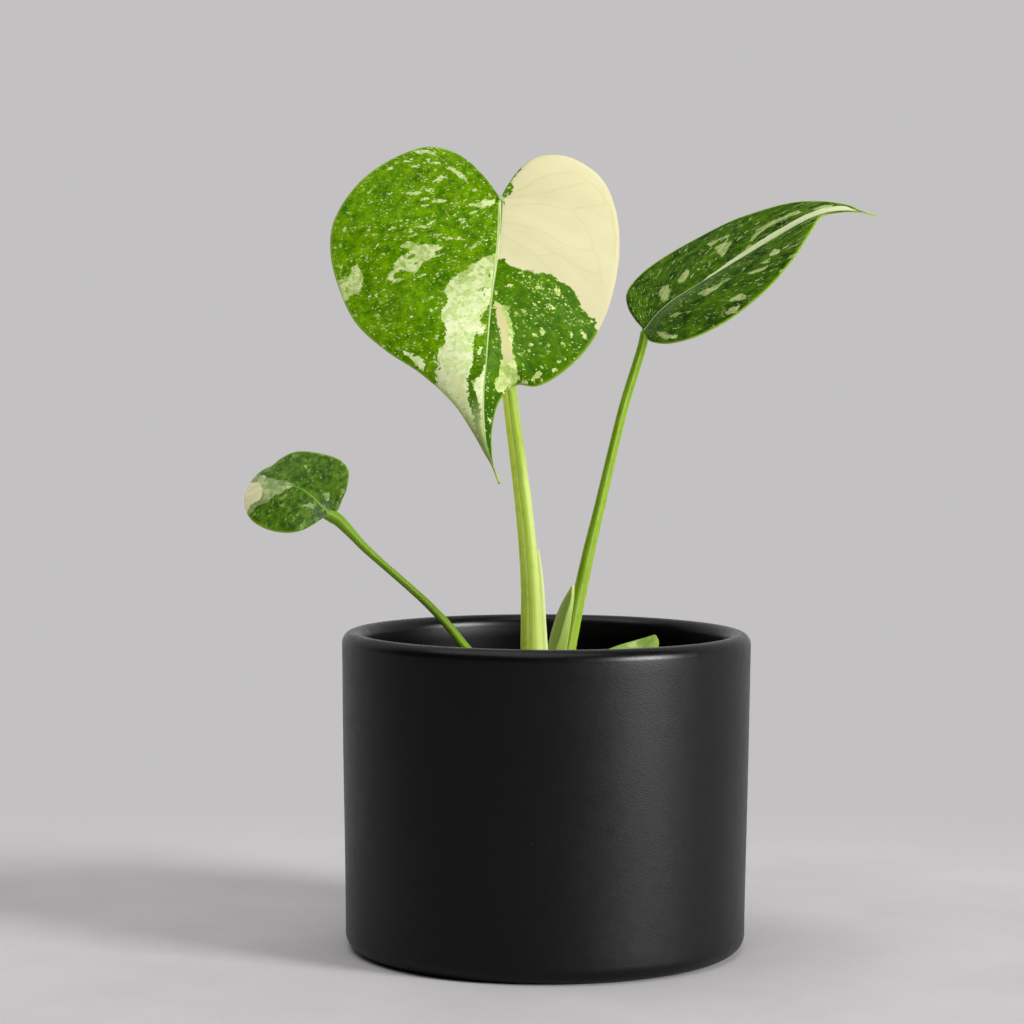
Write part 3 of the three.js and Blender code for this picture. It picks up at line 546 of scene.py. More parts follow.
class Curve:
    """A centripetal Catmull-Rom curve, read at even shares of its length."""

    STEPS = 60

    def __init__(self, points):
        knots = np.array(points, float)
        knots = np.vstack([2 * knots[0] - knots[1], knots, 2 * knots[-1] - knots[-2]])
        share = np.linspace(0, 1, self.STEPS, endpoint=False)[:, None]
        runs = []
        for p0, p1, p2, p3 in zip(knots, knots[1:], knots[2:], knots[3:]):
            d0, d1, d2 = (math.sqrt(np.linalg.norm(b - a)) for a, b in ((p0, p1), (p1, p2), (p2, p3)))
            t1 = ((p1 - p0) / d0 - (p2 - p0) / (d0 + d1) + (p2 - p1) / d1) * d1
            t2 = ((p2 - p1) / d1 - (p3 - p1) / (d1 + d2) + (p3 - p2) / d2) * d1
            c2 = 3 * (p2 - p1) - 2 * t1 - t2
            c3 = 2 * (p1 - p2) + t1 + t2
            runs.append(p1 + share * (t1 + share * (c2 + share * c3)))
        self.spots = np.vstack(runs + [knots[-2:-1]])
        steps = np.linalg.norm(np.diff(self.spots, axis=0), axis=1)
        self.lengths = np.concatenate([[0], np.cumsum(steps)])

    def at(self, share):
        place = np.clip(share, 0, 1) * self.lengths[-1]
        return np.stack([np.interp(place, self.lengths, self.spots[:, k]) for k in range(3)], -1)


def make_piece(name, mesh_parts, material, node, attributes=None):
    """A mesh piece in the row frame that stands in for a node of the model.

    mesh_parts are vertices in mm, faces, and one uv pair for each face corner.
    """
    spots, faces, uvs = mesh_parts
    mesh = bpy.data.meshes.new(name)
    mesh.from_pydata((np.asarray(spots) * MM).tolist(), [], [list(map(int, face)) for face in faces])
    layer = mesh.uv_layers.new(name="OFBake")
    layer.data.foreach_set("uv", np.asarray(uvs, np.float32).ravel())
    for key, values in (attributes or {}).items():
        is_vector = np.ndim(values) == 2
        made = mesh.attributes.new(key, "FLOAT_VECTOR" if is_vector else "FLOAT", "POINT")
        made.data.foreach_set("vector" if is_vector else "value", np.ravel(values).astype(np.float32))
    mesh.polygons.foreach_set("use_smooth", [True] * len(mesh.polygons))
    mesh.materials.append(material)
    mesh.validate()
    mesh.update()
    piece = bpy.data.objects.new(name, mesh)
    bpy.context.scene.collection.objects.link(piece)
    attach(piece, "root")
    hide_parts(node)


def joined(meshes):
    """Several meshes as one."""
    all_spots, all_faces, all_uvs = [], [], []
    start = 0
    for spots, faces, uvs in meshes:
        all_spots.append(spots)
        all_faces += [[corner + start for corner in face] for face in faces]
        all_uvs += list(uvs)
        start += len(spots)
    return np.vstack(all_spots), all_faces, all_uvs


def ringed_mesh(rings, ends, levels):
    """Closed rings of places joined by quads, with a fan at both ends.

    levels are the uv heights of the first end, of each ring and of the last end.
    """
    count, sides, _ = rings.shape
    spots = np.vstack([rings.reshape(-1, 3), ends])
    first_end, last_end = len(spots) - 2, len(spots) - 1
    last_ring = (count - 1) * sides
    faces, uvs = [], []
    for j in range(sides):
        k = (j + 1) % sides
        u, w = j / sides, (j + 1) / sides
        faces.append((k, j, first_end))
        uvs += [(w, levels[1]), (u, levels[1]), ((u + w) / 2, levels[0])]
        for i in range(count - 1):
            low, high = i * sides, (i + 1) * sides
            v, t = levels[i + 1:i + 3]
            faces.append((low + j, low + k, high + k, high + j))
            uvs += [(u, v), (w, v), (w, t), (u, t)]
        faces.append((last_ring + j, last_ring + k, last_end))
        uvs += [(u, levels[-2]), (w, levels[-2]), ((u + w) / 2, levels[-1])]
    return spots, faces, uvs


def grid_quads(index):
    """The quads between the rows and columns of a grid of vertex numbers."""
    return np.stack([index[:-1, :-1], index[:-1, 1:], index[1:, 1:], index[1:, :-1]], -1).reshape(-1, 4)


def surface_normals(spots, quads):
    normals = np.zeros_like(spots)
    for corners in (quads[:, [0, 1, 2]], quads[:, [0, 2, 3]]):
        a, b, c = (spots[corners[:, k]] for k in range(3))
        out = np.cross(b - a, c - a)
        for k in range(3):
            np.add.at(normals, corners[:, k], out)
    return unit(normals)


def two_sided(quads, uv):
    """Faces and corner uvs of a closed skin whose lower side repeats the upper one's vertices."""
    count = len(uv)
    pairs = np.stack([quads, np.roll(quads, -1, axis=1)], -1).reshape(-1, 2)
    pairs = pairs[pairs[:, 0] != pairs[:, 1]]
    is_open = ~np.isin(pairs[:, 0] * count + pairs[:, 1], pairs[:, 1] * count + pairs[:, 0])
    a, b = pairs[is_open].T
    faces = np.vstack([quads, quads[:, ::-1] + count, np.stack([b, a, a + count, b + count], -1)])
    uvs = np.vstack([uv[quads], uv[quads[:, ::-1]] + LOWER_SIDE_UV, uv[np.stack([b, a, a, b], -1)]])
    # A quad with two corners in one place becomes a triangle
    kept = faces != np.roll(faces, 1, axis=1)
    return [face[keep] for face, keep in zip(faces, kept)], uvs[kept]


# Node materials

def operator(operation, swapped=False):
    """A method that puts a math node between this value and another."""
    def work(self, other=0.0):
        pair = (other, self) if swapped else (self, other)
        return self.net.math(operation, *pair)
    return work


class Value:
    """What a node gives out. It can be used in plain sums, which make more nodes."""

    def __init__(self, net, socket):
        self.net = net
        self.socket = socket

    __add__ = operator("ADD")
    __sub__ = operator("SUBTRACT")
    __rsub__ = operator("SUBTRACT", swapped=True)
    __mul__ = operator("MULTIPLY")
    __truediv__ = operator("DIVIDE")
    __abs__ = operator("ABSOLUTE")


def srgb(red, green, blue):
    """A display colour from 0 to 255 as a linear RGBA value."""
    return tuple((c / 255) ** 2.2 for c in (red, green, blue)) + (1.0,)


class Net:
    """The nodes of one material."""

    def __init__(self, name):
        self.material = bpy.data.materials.new(name)
        self.material.use_nodes = True
        self.tree = self.material.node_tree
        self.shader = self.tree.nodes["Principled BSDF"]

    def put(self, socket, value):
        if isinstance(value, Value):
            self.tree.links.new(value.socket, socket)
        else:
            socket.default_value = value

    def node(self, kind, inputs, output=0, **settings):
        """One output of a new node, whose inputs are given by their names or numbers."""
        made = self.tree.nodes.new(kind)
        for key, value in settings.items():
            setattr(made, key, value)
        for key, value in inputs.items():
            self.put(made.inputs[key], value)
        return Value(self, made.outputs[output])

    def math(self, operation, a, b=0.0):
        return self.node("ShaderNodeMath", {0: a, 1: b}, operation=operation)

    def step(self, value, low, high):
        """0 at low, 1 at high, and an even S between them."""
        inputs = {"Value": value, "From Min": low, "From Max": high}
        return self.node("ShaderNodeMapRange", inputs, interpolation_type="SMOOTHSTEP")

    def attribute(self, name, output="Fac"):
        return self.node("ShaderNodeAttribute", {}, output, attribute_name=name)

    def mm_place(self):
        """The place in the row frame, in mm."""
        return self.scaled(self.node("ShaderNodeTexCoord", {}, "Object"), (1 / MM, 1 / MM, 1 / MM))

    def split(self, vector):
        return [self.node("ShaderNodeSeparateXYZ", {0: vector}, k) for k in range(3)]

    def join(self, x, y, z=0.0):
        return self.node("ShaderNodeCombineXYZ", {0: x, 1: y, 2: z})

    def scaled(self, vector, size):
        return self.node("ShaderNodeVectorMath", {0: vector, 1: size}, operation="MULTIPLY")

    def added(self, vector, other):
        return self.node("ShaderNodeVectorMath", {0: vector, 1: other}, operation="ADD")

    def noise(self, vector, scale, detail=2.0, rough=0.5, output="Fac"):
        inputs = {"Vector": vector, "Scale": scale, "Detail": detail, "Roughness": rough}
        return self.node("ShaderNodeTexNoise", inputs, output)

    def cells(self, vector, scale, output="Distance", feature="F1"):
        inputs = {"Vector": vector, "Scale": scale}
        return self.node("ShaderNodeTexVoronoi", inputs, output, feature=feature)

    def cell_gap(self, vector, scale):
        """The distance to the border of a cell."""
        return self.cells(vector, scale, feature="DISTANCE_TO_EDGE")

    def cell_chances(self, vector, scale):
        """Three random numbers for each cell."""
        return self.split(self.cells(vector, scale, "Color"))

    def dots(self, vector, scale, widest, share, blur):
        """Round dots of many sizes, in a share of the cells."""
        chance, size, _ = self.cell_chances(vector, scale)
        chosen = self.step(chance, share + blur, share)
        return self.step(self.cells(vector, scale), size * widest, 0) * chosen

    def reach(self, x, y):
        """The distance from the upright axis."""
        return self.math("SQRT", x * x + y * y)

    def mix(self, share, a, b):
        """A blend of two colours, each from a node or as display values from 0 to 255."""
        a, b = (tone if isinstance(tone, Value) else srgb(*tone) for tone in (a, b))
        return self.node("ShaderNodeMix", {0: share, 6: a, 7: b}, 2, data_type="RGBA")

    def layered(self, colour, *layers):
        """A colour with others laid over it, each as (share, colour)."""
        for share, tint in layers:
            colour = self.mix(share, colour, tint)
        return colour

    def bump(self, height, distance, strength):
        return self.node("ShaderNodeBump", {"Height": height, "Distance": distance, "Strength": strength})

    def finish(self, colour, roughness, gloss, **others):
        """Sets the inputs of the shader, the others by their names with _ for a space."""
        inputs = {"Base_Color": colour, "Roughness": roughness, "Specular_IOR_Level": gloss}
        for key, value in (inputs | others).items():
            self.put(self.shader.inputs[key.replace("_", " ")], value)
        return self.material


# Blades

def leaf_axes(leaf):
    """The x, y and z directions of a blade's own frame."""
    z = unit(np.array(leaf["face"], float))
    y = np.array(leaf["to_tip"], float)
    y = unit(y - (y @ z) * z)
    return np.stack([np.cross(y, z), y, z])


def blade_grid(leaf):
    """The middle surface as rows by columns, from the left margin over the rib to the right one."""
    rows, across = leaf["rows"], leaf["across"]
    lobe_rows = round(rows / 3)
    row = np.arange(rows + 1)
    past_lobe = np.maximum(0, (row - lobe_rows) / (rows - lobe_rows))
    inner = Curve(leaf["midrib"]).at(past_lobe ** ROW_EASE)[:, None]
    even = np.linspace(0, 1, across + 1)
    part = even - 0.1 * np.sin(2 * np.pi * even)
    halves = {}
    for side, sign in (("left", -1), ("right", 1)):
        fan = leaf["fan"][side]
        share = np.where(row < lobe_rows, fan * row / lobe_rows, fan + (1 - fan) * past_lobe)
        outer = Curve(leaf[side]).at(share)[:, None]
        narrow = leaf.get("tip_pinch", 0) * smooth(0.9, 0.97, past_lobe)
        outer = outer + (inner - outer) * narrow[:, None, None]
        width = np.linalg.norm(outer - inner, axis=-1)
        spots = inner * (1 - part)[:, None] + outer * part[:, None]
        spots[..., 2] += np.minimum(leaf["billow"], width / 12) * 4 * part * (1 - part)
        halves[side] = {
            "spots": spots,
            "rib": sign * width * part,
            "edge": width * (1 - part),
            "part": np.broadcast_to(part, spots.shape[:2]),
        }
    left, right = halves["left"], halves["right"]
    grid = {key: np.concatenate([left[key][:, :0:-1], right[key]], 1) for key in left}
    turn = np.where(row < lobe_rows, LOBE_TURN * (row - lobe_rows) / lobe_rows, past_lobe)
    grid["turn"] = np.broadcast_to(turn[:, None], grid["part"].shape)
    return grid, lobe_rows


def outline_distance(x, y, outline):
    """Distance in mm to a closed outline, positive inside it."""
    inside = np.zeros(x.shape, bool)
    for (ax, ay), (bx, by) in zip(outline, outline[1:] + outline[:1]):
        if ay != by:
            inside ^= ((ay > y) != (by > y)) & (x < ax + (y - ay) * (bx - ax) / (by - ay))
    nearest = line_distance(x, y, [outline + outline[:1]])
    return np.where(inside, nearest, -nearest)


def line_distance(x, y, lines):
    """The distance in mm to the nearest of some lines, up to the farthest that counts."""
    nearest = np.full(x.shape, FIELD_REACH)
    for line in lines:
        for (ax, ay), (bx, by) in zip(line, line[1:]):
            dx, dy = bx - ax, by - ay
            along = np.clip(((x - ax) * dx + (y - ay) * dy) / (dx * dx + dy * dy), 0, 1)
            nearest = np.minimum(nearest, np.hypot(x - ax - along * dx, y - ay - along * dy))
    return nearest


def oval_distance(x, y, oval):
    """About the distance in mm to a long speck, positive inside it."""
    cx, cy, length, width, degrees = oval
    turn = math.radians(degrees)
    u = (x - cx) * math.cos(turn) + (y - cy) * math.sin(turn)
    v = (y - cy) * math.cos(turn) - (x - cx) * math.sin(turn)
    return (1 - np.hypot(u / length, v / width)) * min(length, width)


def drawn_fields(name, x, y, rib):
    """Distances in mm to the drawn patches: all pale ones, the cream ones and the green flecks."""
    fields = []
    for outlines, ovals in ((PALE, SPECKS), (CREAM, {}), ({}, FLECKS)):
        field = np.full(x.shape, -FIELD_REACH)
        for side, other_side in (("left", rib > 0.02), ("right", rib < -0.02)):
            for outline in outlines.get((name, side), []):
                reach = outline_distance(x, y, outline)
                field = np.maximum(field, np.where(other_side, -FIELD_REACH, reach))
        for oval in ovals.get(name, []):
            field = np.maximum(field, oval_distance(x, y, oval))
        fields.append(field)
    return np.stack(fields, -1)


def make_blade(name):
    leaf = LEAVES[name]
    grid, lobe_rows = blade_grid(leaf)
    index = np.arange(grid["part"].size).reshape(grid["part"].shape)
    # The rows of the lobes all start where the stalk ends
    index[1:lobe_rows + 1, leaf["across"]] = index[0, leaf["across"]]
    used, packed = np.unique(grid_quads(index), return_inverse=True)
    quads = packed.reshape(-1, 4)
    spots = grid["spots"].reshape(-1, 3)[used]
    rib, edge, part, turn = (grid[key].ravel()[used] for key in ("rib", "edge", "part", "turn"))
    normals = surface_normals(spots, quads)
    x, y, _ = spots.T

    veins, bend = leaf["veins"]
    phase = veins * turn - bend * part ** 1.6 + 0.12 * wave(x / 9, y / 9, seed=1)
    off_rib = np.abs(rib)
    width = off_rib + edge
    narrow = smooth(0.5, 6, width)
    quilt = QUILT_DEPTH * smooth(0.5, 4, off_rib) * smooth(0.3, 3, edge) * np.cos(2 * np.pi * phase)
    swell = SWELL_HEIGHT * smooth(1, 9, off_rib) * wave(x / 11, y / 13, seed=len(name)) * narrow
    groove = GROOVE_DEPTH * np.exp(-(off_rib / 0.9) ** 2) - RIB_RISE * np.exp(-(off_rib / 0.3) ** 2)
    half = MARGIN_HALF + (BLADE_HALF - MARGIN_HALF) * smooth(0, 1.4, edge) * narrow
    keel = KEEL_HEIGHT * np.maximum(0, 1 - off_rib / KEEL_WIDTH) ** 0.8 * smooth(0.4, 5, width)
    keel = keel * (1 - KEEL_TAPER * np.clip(turn, 0, 1))
    upper = spots + normals * (half + swell - quilt - groove * narrow)[:, None]
    lower = spots - normals * (half + keel - swell + 1.3 * quilt)[:, None]
    along = (turn + LOBE_TURN) / (1 + LOBE_TURN)
    uv = np.stack([0.25 + 0.24 * np.sign(rib) * part, 0.01 + 0.98 * along], -1)
    faces, uvs = two_sided(quads, uv)

    attributes = {
        "leaf_xy": np.stack([x, y, np.zeros(len(x))], -1),
        "lane": np.stack([rib, phase, edge], -1),
        "drawn": drawn_fields(name, x, y, rib),
        "cream_vein": line_distance(x, y, CREAM_VEINS if name == "main" else []),
        "turn": turn,
    }
    attributes = {key: np.concatenate([values, values]) for key, values in attributes.items()}
    attributes["under"] = np.repeat([0.0, 1.0], len(x))
    skin = np.vstack([upper, lower]) @ leaf_axes(leaf) + leaf["junction"]
    make_piece(f"{name}_leaf_blade_skin", (skin, faces, uvs), LeafNet(name).dressed(),
               f"{name}_leaf_blade", attributes)


class LeafNet(Net):
    """The material of one blade, which follows what its mesh says about each place."""

    def __init__(self, name):
        super().__init__(f"leaf_{name}")
        self.look = LOOKS["all"] | LOOKS[name]
        self.is_main = name == "main"
        self.is_pointed = "tip_pinch" in LEAVES[name]
        self.place = self.attribute("leaf_xy", "Vector")
        self.rib, self.phase, self.edge = self.split(self.attribute("lane", "Vector"))
        self.turn = self.attribute("turn")
        self.make_tissue()
        self.make_masks()

    def make_tissue(self):
        """A mosaic of small angular cells, longer along the side veins than across."""
        stretch = self.look["stretch"]
        if self.look["along_veins"]:
            lanes = self.join(self.rib * stretch, self.phase * self.look["lane"])
        else:
            lanes = self.scaled(self.place, (stretch, stretch * CELL_SHAPE, 0))
        self.drift = self.noise(self.place, 1.9, output="Color")
        self.woven = self.added(lanes, self.scaled(self.drift, (0.8, 0.8, 0)))
        scales = [1 / size for size in CELL_SIZES]
        self.gaps = [self.cell_gap(self.woven, scale) for scale in scales]
        self.chances = [self.cell_chances(self.woven, scale) for scale in scales]
        self.medium = self.noise(self.scaled(self.place, self.look["ground"]), 0.4, 3, 0.6)
        self.fine = self.noise(self.place, 1.5, 3, 0.6)

    def make_masks(self):
        """The drawn patches, whose borders step from cell to cell."""
        pale, cream, fleck = self.split(self.attribute("drawn", "Vector"))
        _, small, large = self.chances
        ragged = self.noise(self.place, 0.45, 3, 0.6) - 0.5
        self.fray = (small[0] - 0.5) * 0.55 + (large[0] - 0.5) * 0.6 + ragged * 0.8
        self.on_pale = self.step(pale + self.fray, -0.03, 0.06)
        self.on_cream = self.step(cream + self.fray * 0.5, -0.15, 0.3)
        self.on_fleck = self.step(fleck + self.fray * 0.35, -0.04, 0.06)

    def green(self):
        """The green ground, lighter along the margin."""
        look = self.look
        blotch = self.noise(self.place, 0.13, 4, 0.6)
        mottle = (self.chances[1][1] - 0.5) * look["mottle"]
        tone = blotch * 0.5 + self.medium * 0.5 + mottle + (self.fine - 0.5) * 0.3
        green = self.mix(self.step(tone, 0.3, 0.72), look["dark"], look["light"])
        left = self.step(self.rib, 0.3, -0.3) * look["darker_left"]
        tip = self.step(self.turn, 0.6, 0.85) * look["darker_tip"]
        green = self.mix(self.math("MAXIMUM", left, tip), green, look["deep"])
        return self.mix(self.step(self.edge, 1.4, 0) * 0.45, green, (142, 180, 40))

    def with_specks(self, colour):
        """Pale cells scattered in the green, thicker in some places than in others."""
        crowd = self.step(self.noise(self.place, 0.1, 3, 0.6), 0.36, 0.62) * 1.15 + 0.25
        for gap, random, cover, border in zip(self.gaps, self.chances, CELL_COVERS, CELL_BORDERS):
            present = self.step(crowd * (cover * self.look["specks"]) - random[2], -0.002, 0.002)
            mask = self.step(gap, border, border + 0.06) * present
            tint = self.mix(random[1], *self.look["speck"])
            colour = self.mix(mask * (random[0] * 0.45 + 0.55), colour, tint)
        return colour

    def mint(self):
        """The pale patches, with their net of veins. Toward the tip they are painted lighter, as painted
        light against the shade on the lower blade.
        """
        _, small, _ = self.chances
        wandering = self.added(self.place, self.scaled(self.drift, (1.2, 1.2, 0)))
        net_line = self.step(self.cell_gap(wandering, 0.5), 0.09, 0)
        shade = self.cell_chances(wandering, 0.5)[0] * 0.4 + small[1] * 0.25 + self.fine * 0.35
        shade = self.step(shade, 0.25, 0.75)
        mint, low, left = (self.mix(shade, *self.look[key]) for key in ("mint", "mint_painted_lit", "mint_left"))
        green_cells = self.step(0.035 - small[2], -0.002, 0.002)
        return self.layered(
            mint,
            # Painted light: the pale patches grow lighter toward the tip, to make up for the shade there
            (self.step(self.turn, 0.3, 0.62) * 0.9, low),
            (net_line * 0.3, (236, 242, 200)),
            (self.step(self.medium, 0.5, 0.68) * 0.3, (228, 232, 166)),
            (self.step(self.rib, 0.2, -0.2) * 0.85, left),
            (green_cells * 0.3, (140, 180, 60)),
        )

    def ivory(self):
        """The cream patches, with faint veins and a few brown dots."""
        ivory = self.mix(self.noise(self.place, 0.12, 3), *self.look["ivory"])
        if self.is_main:
            # The short streak beside the rib, past the large cream patch, is duller
            below = self.step(self.split(self.place)[1], 27, 29) * self.step(self.rib, -16, -14)
            right_half = self.step(self.rib, 0.2, 0.6)
            ivory = self.layered(ivory, (below, (208, 204, 144)), (right_half, (230, 236, 172)))
        veins = self.step(self.attribute("cream_vein"), 0.6, 0)
        dots = self.dots(self.place, 0.14, 0.04, share=0.2, blur=0.02)
        return self.layered(ivory, (veins * 0.2, (190, 178, 104)), (dots * 0.8, (110, 84, 40)))

    def with_rib(self, colour):
        """The midrib, which narrows toward the tip."""
        turn, rib, look = self.turn, self.rib, self.look
        half = (1.15 - turn) * look["rib"]
        across = rib / half
        mask = self.step(abs(rib) - half, 0.12, -0.12)
        mask = mask * self.step(turn, look["rib_end"], look["rib_end"] - 0.25)
        streak = self.noise(self.join(across, turn * 3), 1.7)
        tint = self.mix(self.step(streak, 0.45, 0.58), *look["rib_tint"])
        if self.is_main:
            line = self.step(abs(across + 0.75), 0.3, 0.1) * self.step(turn, 0.3, 0.24)
            tint = self.mix(line * 0.85, tint, (84, 122, 8))
        return self.mix(mask, colour, tint)

    def with_stripe(self, colour):
        """A pale stripe that widens along the rib, mostly on the left half, and a painted grey sheen below
        the rib near its base.
        """
        turn, rib = self.turn, self.rib
        reach = self.step(turn, 0.35, 0.82) * self.step(turn, 0.97, 0.86)
        low = self.step(rib + self.fray * 0.6 + (reach * 5.5 + 0.2), -0.1, 0.1)
        high = self.step(rib - reach * 0.8, 0.15, -0.15)
        # Painted sheen: a grey band on the lower side of the rib, from the base to about the middle
        painted_sheen = self.step(rib, 9, 0.5) * (self.step(rib, -0.3, 0.3) * 0.3) * self.step(turn, 0.62, 0.35)
        band = low * high * self.step(reach, 0.02, 0.12)
        return self.layered(colour, (painted_sheen, (124, 148, 104)), (band, (214, 224, 172)))

    def with_tip(self, colour):
        """The last of the tip is pale, and dry at its very end."""
        pale, dry = self.step(self.turn, 0.95, 0.98), self.step(self.turn, 0.992, 1)
        return self.layered(colour, (pale, (164, 188, 74)), (dry, (132, 104, 58)))

    def dressed(self):
        """The finished material."""
        turn, rib, look, on_cream = self.turn, self.rib, self.look, self.on_cream
        colour = self.with_specks(self.green())
        thin = self.step(self.noise(self.woven, 0.55, 3, 0.6), 0.62, 0.38) * look["soft"]
        off_vein = abs(self.math("FRACT", self.phase + 0.5) - 0.5)
        vein = self.step(off_vein * look["lane"], 0.35, 0.05) * self.step(self.edge, 0.5, 5)
        clear = self.on_pale * (0.25 - on_cream * 0.2) + 0.06
        colour = self.layered(
            colour,
            (self.on_pale * (1 - thin), self.mint()),
            (on_cream * self.on_pale, self.ivory()),
            (self.on_fleck * self.on_pale, (104, 152, 20)),
            (vein * clear, (196, 200, 110)),
        )
        colour = self.with_rib(colour)
        if look["stripe"]:
            colour = self.with_stripe(colour)
        if self.is_main:
            toward_tip = self.step(turn, 0.76, 0.86) * self.step(rib, 0, 0.3)
            colour = self.mix(toward_tip * 0.85, colour, (176, 194, 120))
        if self.is_pointed:
            colour = self.with_tip(colour)
        rim = self.step(self.edge, 0.8, 0.25) * look["rim"] * (1 - on_cream)
        # The underside is paler and duller
        under = self.attribute("under")
        colour = self.layered(colour, (rim, (154, 192, 62)), (under * 0.42, (172, 194, 128)))

        grain = self.noise(self.place, 2.6, 3, 0.6)
        height = grain * 0.3 - vein * (0.5 - on_cream * 0.35)
        if self.is_main:
            # The lower half of this side swells up toward its margin
            height = height + self.step(turn, 0.3, 0.6) * self.math("MAXIMUM", rib, 0) * 2.2
        rough = grain * 0.12 + under * 0.15 + 0.4
        return self.finish(colour, rough, look["gloss"], Normal=self.bump(height, 0.00012, 0.7))


# Stalks

def tube_path(points, radii, steps, tail):
    """Centres, radii and shares of a tube, which the tail's places and radii carry on."""
    share = np.linspace(0, 1, steps + 1)
    centres = Curve(points).at(share)
    widths = np.interp(share, np.linspace(0, 1, len(radii)), radii)
    if tail:
        path = Curve([centres[-6], centres[-1]] + [place for place, _ in tail])
        start = path.lengths[path.STEPS] / path.lengths[-1]
        further = np.linspace(0, 1, TAIL_RINGS + 1)[1:]
        ends = [widths[-1]] + [radius for _, radius in tail]
        centres = np.vstack([centres, path.at(start + (1 - start) * further)])
        widths = np.append(widths, np.interp(further, np.linspace(0, 1, len(ends)), ends))
        share = np.append(share, np.ones(TAIL_RINGS))
    return centres, widths, share


def tube_mesh(points, radii, steps, sides, shape=None, tail=()):
    """A mesh, and for each vertex its angle from the front and its share of the length."""
    centres, widths, share = tube_path(points, radii, steps, tail)
    ahead = unit(np.gradient(centres, axis=0))
    to_front = np.array([0.0, -1.0, 0.0])
    front = unit(to_front - (ahead @ to_front)[:, None] * ahead)
    sideways = np.cross(ahead, front)
    angle = 2 * np.pi * np.arange(sides) / sides
    girth = widths[:, None] * (1 + (shape(angle, share[:, None]) if shape else 0 * angle))
    out = np.cos(angle)[:, None] * front[:, None] + np.sin(angle)[:, None] * sideways[:, None]
    rings = centres[:, None] + girth[..., None] * out
    ends = [centres[0] - ahead[0] * widths[0] * 0.5, centres[-1] + ahead[-1] * widths[-1] * 0.5]
    around = np.append(np.tile(angle, len(centres)), [0, 0])
    along = np.append(np.repeat(share, sides), [0, 1])
    return ringed_mesh(rings, ends, [0, *np.linspace(0.04, 0.96, len(centres)), 1]), around, along


def stalk_material(name):
    look = STALK_LOOKS[name]
    net = Net(f"stalk_{name}")
    around, across, along = net.split(net.attribute("round", "Vector"))
    streaks = net.noise(net.join(across * 3.2, around * 3.2, along * 5), look["streaks"])
    mottle = net.noise(net.mm_place(), 0.22, 3, 0.6)
    colour = net.mix(along, look["base"], look["top"])
    bent = across + (streaks - 0.5) * 0.16
    for centre, half, strength, tint in look["stripes"]:
        colour = net.mix(net.step(abs(bent - centre), half, half * 0.35) * strength, colour, tint)
    streak, spot = net.step(streaks, 0.5, 0.75) * 0.3, net.step(mottle, 0.45, 0.7) * 0.22
    colour = net.layered(colour, (streak, (206, 224, 130)), (spot, look["edge"]))
    if name == "main":
        # The sheath lies against the right of the foot
        foot = net.step(bent, 0.35, 0.65) * net.step(along, 0.5, 0.42)
        colour = net.mix(foot * 0.6, colour, (212, 230, 142))
    fine = net.noise(net.mm_place(), 0.9)
    others = {"Normal": net.bump(streaks * 0.7 + fine, 0.0001, 0.5)}
    if "glow" in look:
        share, reach = look["glow"]
        others |= {"Subsurface_Weight": share, "Subsurface_Scale": reach, "Subsurface_Radius": GLOW_COLOUR}
    return net.finish(colour, fine * 0.15 + 0.4, 0.1, **others)


def make_stalk(name, steps, sides):
    stalk, leaf, look = STALKS[name], LEAVES[name], STALK_LOOKS[name]

    def ribbed(angle, share):
        lift = 0.015 * wave(2 * angle, 9 * share, seed=2)
        for centre, half, height in look["ridges"]:
            lift = lift + height * (np.cos(angle) > 0) * np.exp(-((np.sin(angle) - centre) / half) ** 2)
        return lift

    tail = [(place @ leaf_axes(leaf) + leaf["junction"], radius) for place, radius in look["tail"]]
    mesh, around, along = tube_mesh(stalk["points"], stalk["radii"], steps, sides, ribbed, tail)
    make_piece(f"{name}_leaf_stalk_skin", mesh, stalk_material(name),
               f"{name}_leaf_stalk", {"round": np.stack([np.cos(around), np.sin(around), along], -1)})


def sheath_material(name, inner, margin, vein):
    net = Net(name)
    across, along, _ = net.split(net.attribute("sheet", "Vector"))
    lines = net.noise(net.join(across * 14, along * 2.5), 1, 4, 0.6)
    colour = net.mix(net.step(lines, 0.35, 0.7), inner, vein)
    edge, tip = net.step(across, 0.72, 0.98), net.step(along, 0.93, 1) * 0.6
    colour = net.layered(colour, (edge, margin), (tip, (222, 206, 176)))
    fine = net.noise(net.mm_place(), 2.2, 3, 0.6)
    return net.finish(colour, fine * 0.15 + 0.4, 0.4, Normal=net.bump(lines + fine * 0.5, 0.0002, 0.6))


def make_sheet(name, lines, half, material, columns, rows, node):
    """A closed thin sheet through lines of points, from its root line to its free edge."""
    across, along = np.linspace(0, 1, columns + 1), np.linspace(0, 1, rows + 1)
    ladder = np.stack([Curve(line).at(along) for line in lines], 1)
    spots = np.stack([Curve(rung).at(across) for rung in ladder]).reshape(-1, 3)
    quads = grid_quads(np.arange(len(spots)).reshape(rows + 1, columns + 1))
    across, along = np.tile(across, rows + 1), np.repeat(along, columns + 1)
    thick = half * (1 - 0.6 * smooth(0.75, 1, across)) * (1 - 0.5 * smooth(0.9, 1, along))
    off = surface_normals(spots, quads) * thick[:, None]
    faces, uvs = two_sided(quads, np.stack([across * 0.48 + 0.01, along * 0.98 + 0.01], -1))
    sheet = np.tile(np.stack([across, along, 0 * along], -1), (2, 1))
    make_piece(name, (np.vstack([spots + off, spots - off]), faces, uvs), material, node,
               {"sheet": sheet})


# Pot

def arc(cx, cy, radius, start, stop, steps):
    """Places on a circle, between two angles in degrees."""
    turn = np.radians(np.linspace(start, stop, steps + 1))
    return [(cx + radius * math.cos(t), cy + radius * math.sin(t)) for t in turn]


def straight(start, stop, steps):
    """The places that lie between two ends."""
    return [tuple(np.array(start) + (np.array(stop) - start) * k / steps) for k in range(1, steps)]


def wall_radius(z):
    return POT_BASE_RADIUS + (POT_RIM_RADIUS - POT_BASE_RADIUS) * z / POT_HEIGHT


